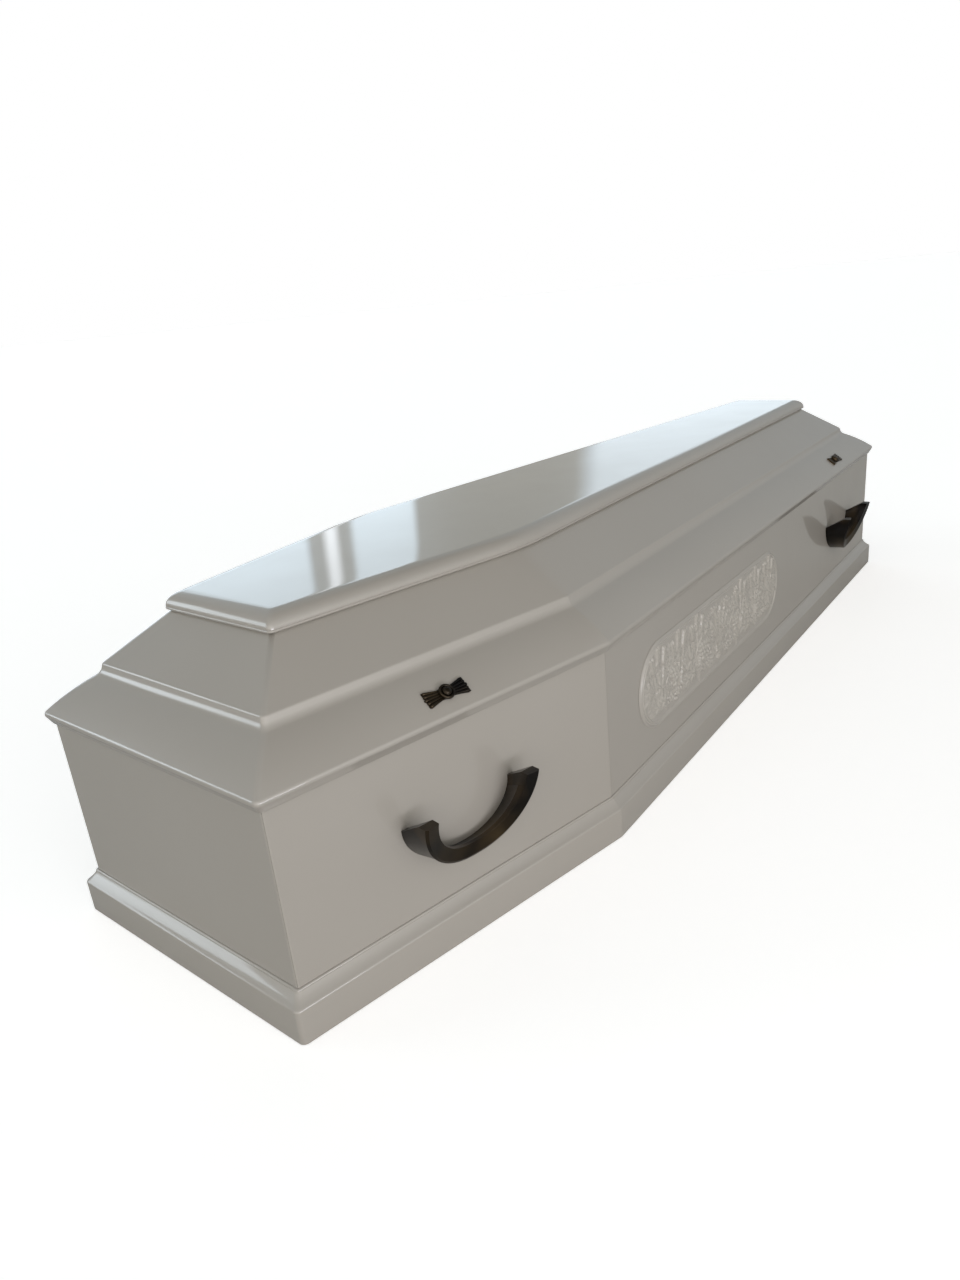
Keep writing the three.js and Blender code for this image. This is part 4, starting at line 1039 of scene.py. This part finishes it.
class COFFIN_OT_handles(CoffinOperator, bpy.types.Operator):
    """Fix the four cast handles"""

    bl_idname = "coffin.handles"
    bl_label = "Handles"

    def execute(self, context):
        sizes = context.scene.coffin_sizes
        for index in LONG_EDGES:
            name = EDGE_NAMES[index]
            distance = HANDLE_FROM_HEAD if index in HEAD_EDGES else HANDLE_FROM_SHOULDER
            seat = place_on_board(sizes, index, distance, sizes.glue_gap, sizes.handle_height)
            verts, faces = handle_mesh(sizes)
            verts = seated(seat, verts)
            handle = mesh_object(f"cast_handle_{name}", verts, faces, self.bronze(), sharp_degrees=28)
            soften(outward(handle), HANDLE_SOFTNESS)
            finish_piece(handle, "bronze", f"handle_{name}")
        return {"FINISHED"}


class COFFIN_OT_screws(CoffinOperator, bpy.types.Operator):
    """Set the lid screws in their butterfly plates"""

    bl_idname = "coffin.screws"
    bl_label = "Lid screws"

    def execute(self, context):
        sizes = context.scene.coffin_sizes
        _, cushion = lid_profile(sizes)
        place = PLATE_UP_CUSHION
        middle, before, after = (cushion(t) for t in (place, place - PLATE_PROBE, place + PLATE_PROBE))
        tilt = -math.atan2(before[0] - after[0], after[1] - before[1])
        for index in LONG_EDGES:
            name = EDGE_NAMES[index]
            distance = PLATE_FROM_HEAD if index in HEAD_EDGES else PLATE_FROM_SHOULDER
            seat = place_on_board(sizes, index, distance, middle[0], middle[1], tilt)
            verts, faces = plate_mesh(sizes)
            verts = seated(seat, verts, sizes.glue_gap)
            plate = mesh_object(f"butterfly_plate_{name}", verts, faces, self.bronze(), sharp_degrees=40)
            finish_piece(outward(plate), "bronze", f"screw_plate_{name}")
            verts, faces = knob_mesh()
            verts = seated(seat, verts, PLATE_THICKNESS + 2 * sizes.glue_gap)
            knob = mesh_object(f"lid_screw_{name}", verts, faces, self.bronze(), sharp_degrees=40)
            finish_piece(outward(knob), "bronze", f"screw_knob_{name}")
        return {"FINISHED"}


class COFFIN_OT_reliefs(CoffinOperator, bpy.types.Operator):
    """Set the carved oval panels in the long boards"""

    bl_idname = "coffin.reliefs"
    bl_label = "Carved panels"

    def execute(self, context):
        sizes = context.scene.coffin_sizes
        verts, faces, shares = relief_mesh(sizes)
        for index, name in ((2, "right"), (4, "left")):
            seat = place_on_board(sizes, index, RELIEF_FROM_SHOULDER, sizes.glue_gap, sizes.relief_height)
            placed = seated(seat, verts)
            panel = mesh_object(f"carved_panel_{name}", placed, faces, self.carving(), sharp_degrees=60)
            outward(panel)
            # Each point's crest share, which the carving material turns into a painted highlight on the
            # crests
            crest = panel.data.attributes.new(CREST, "FLOAT", "POINT")
            crest.data.foreach_set("value", shares)
            finish_piece(panel, "carving", f"relief_panel_{name}")
        return {"FINISHED"}


class COFFIN_OT_stage(CoffinOperator, bpy.types.Operator):
    """Set the floor, the soft room and the camera"""

    bl_idname = "coffin.stage"
    bl_label = "Stage"

    def execute(self, context):
        scene = context.scene
        corners = [(FLOOR_HALF * x, FLOOR_HALF * y, 0) for x, y in ((-1, -1), (1, -1), (1, 1), (-1, 1))]
        floor = mesh_object("studio_floor", corners, [(0, 1, 2, 3)], floor_material())
        scene.world = soft_room()
        add_softbox(scene)
        add_camera(scene)
        scene.view_settings.view_transform = "Standard"
        return {"FINISHED"}


def soft_pulse(tree, value, low, high, edge):
    """One between two values and nought beyond them, with soft edges."""
    rise = add_node(tree, "ShaderNodeMapRange", {"interpolation_type": "SMOOTHSTEP"},
                    {"From Min": low - edge, "From Max": low + edge}, {"Value": value})
    fall = add_node(tree, "ShaderNodeMapRange", {"interpolation_type": "SMOOTHSTEP"},
                    {"From Min": high - edge, "From Max": high + edge, "To Min": 1.0, "To Max": 0.0},
                    {"Value": value})
    both = add_node(tree, "ShaderNodeMath", {"operation": "MULTIPLY"},
                    links={0: rise.outputs[0], 1: fall.outputs[0]})
    return both.outputs[0]


def light_colour(tone, strength):
    """Linear colour of a light of the given tone and strength."""
    return tuple(channel * strength for channel in linear(tone)[:3]) + (1.0,)


def soft_room():
    """Pale room with a broad glow and soft light panels for the lacquer to mirror, itself seen as white."""
    world = bpy.data.worlds.new("soft_room")
    world.use_nodes = True
    tree = world.node_tree
    tree.nodes.clear()
    toward = add_node(tree, "ShaderNodeTexCoord").outputs["Generated"]
    split = add_node(tree, "ShaderNodeSeparateXYZ", links={0: toward})
    azimuth = add_node(tree, "ShaderNodeMath", {"operation": "ARCTAN2"},
                       links={0: split.outputs["X"], 1: split.outputs["Y"]})
    height = add_node(tree, "ShaderNodeMath", {"operation": "ARCSINE"}, links={0: split.outputs["Z"]})
    toward_glow = add_node(tree, "ShaderNodeVectorMath", {"operation": "DOT_PRODUCT"},
                           {1: GLOW_FROM}, {0: toward})
    near_glow = add_node(tree, "ShaderNodeMapRange", {"interpolation_type": "SMOOTHSTEP"},
                         {"From Min": GLOW_EDGE, "From Max": GLOW_CORE},
                         {"Value": toward_glow.outputs["Value"]})
    room = add_node(tree, "ShaderNodeMix", {"data_type": "RGBA"},
                    {6: light_colour(*ROOM_LIGHT), 7: light_colour(*GLOW_LIGHT)}, {0: near_glow.outputs[0]})
    colour = room.outputs[2]
    for (left, right), (low, high), edge, tone, strength in WALL_PANELS + LIGHT_PANELS:
        across = soft_pulse(tree, azimuth.outputs[0], *(math.radians(a) for a in (left, right, edge)))
        upward = soft_pulse(tree, height.outputs[0], *(math.radians(a) for a in (low, high, PANEL_FADE)))
        mask = add_node(tree, "ShaderNodeMath", {"operation": "MULTIPLY"}, links={0: across, 1: upward})
        mix = add_node(tree, "ShaderNodeMix", {"data_type": "RGBA"}, {7: light_colour(tone, strength)},
                       {0: mask.outputs[0], 6: colour})
        colour = mix.outputs[2]
    seen = add_node(tree, "ShaderNodeLightPath")
    white = (BACKGROUND_LIGHT, BACKGROUND_LIGHT, BACKGROUND_LIGHT, 1.0)
    final = add_node(tree, "ShaderNodeMix", {"data_type": "RGBA"}, {7: white},
                     {0: seen.outputs["Is Camera Ray"], 6: colour})
    glow = add_node(tree, "ShaderNodeBackground", links={"Color": final.outputs[2]})
    add_node(tree, "ShaderNodeOutputWorld", links={"Surface": glow.outputs[0]})
    return world


def add_softbox(scene):
    """Large soft light beside the head end, so that the long side darkens a little toward the foot."""
    lamp = bpy.data.lights.new("side_softbox", "AREA")
    lamp.shape = "RECTANGLE"
    lamp.size, lamp.size_y = SOFTBOX_SIZE
    lamp.energy = SOFTBOX_POWER
    lamp.color = linear(SOFTBOX_TONE)[:3]
    box = bpy.data.objects.new("side_softbox", lamp)
    box.location = SOFTBOX_PLACE
    box.rotation_euler = (Vector(SOFTBOX_AIM) - Vector(SOFTBOX_PLACE)).to_track_quat("-Z", "Y").to_euler()
    scene.collection.objects.link(box)


def add_camera(scene):
    """Camera at the photograph's place and angles, the lens for an image 1280 pixels high."""
    yaw, pitch, roll = (math.radians(a) for a in CAMERA_ANGLES)
    ahead = Vector((math.sin(yaw) * math.cos(pitch), math.cos(yaw) * math.cos(pitch), -math.sin(pitch)))
    level = Vector((math.cos(yaw), -math.sin(yaw), 0.0))
    fall = ahead.cross(level)
    right = level * math.cos(roll) + fall * math.sin(roll)
    down = fall * math.cos(roll) - level * math.sin(roll)
    camera = bpy.data.cameras.new("photo_camera")
    camera.sensor_width = CAMERA_SENSOR
    camera.lens = CAMERA_LENS
    camera.clip_end = CAMERA_REACH
    eye = bpy.data.objects.new("photo_camera", camera)
    turn = Matrix((right, -down, -ahead)).transposed().to_4x4()
    eye.matrix_world = Matrix.Translation(CAMERA_PLACE) @ turn
    scene.collection.objects.link(eye)
    scene.camera = eye


OPERATORS = (COFFIN_OT_boards, COFFIN_OT_plinth, COFFIN_OT_lid, COFFIN_OT_handles, COFFIN_OT_screws,
             COFFIN_OT_reliefs, COFFIN_OT_stage)


class COFFIN_PT_panel(bpy.types.Panel):
    """Coffin builders in the sidebar"""

    bl_label = "Coffin"
    bl_idname = "COFFIN_PT_panel"
    bl_space_type = "VIEW_3D"
    bl_region_type = "UI"
    bl_category = "Coffin"

    def draw(self, context):
        for operator in OPERATORS:
            self.layout.operator(operator.bl_idname)
        for group in (context.scene.coffin_sizes, context.scene.coffin_finish):
            for key in group.__annotations__:
                self.layout.prop(group, key)


CLASSES = (CoffinSizes, CoffinFinish, *OPERATORS, COFFIN_PT_panel)


def register():
    for entry in CLASSES:
        bpy.utils.register_class(entry)
    bpy.types.Scene.coffin_sizes = PointerProperty(type=CoffinSizes)
    bpy.types.Scene.coffin_finish = PointerProperty(type=CoffinFinish)


def unregister():
    del bpy.types.Scene.coffin_sizes
    del bpy.types.Scene.coffin_finish
    for entry in reversed(CLASSES):
        bpy.utils.unregister_class(entry)


def main():
    register()
    bpy.ops.coffin.boards()
    bpy.ops.coffin.plinth()
    bpy.ops.coffin.lid()
    bpy.ops.coffin.handles()
    bpy.ops.coffin.screws()
    bpy.ops.coffin.reliefs()
    bpy.ops.coffin.stage()


if __name__ == "__main__":
    main()
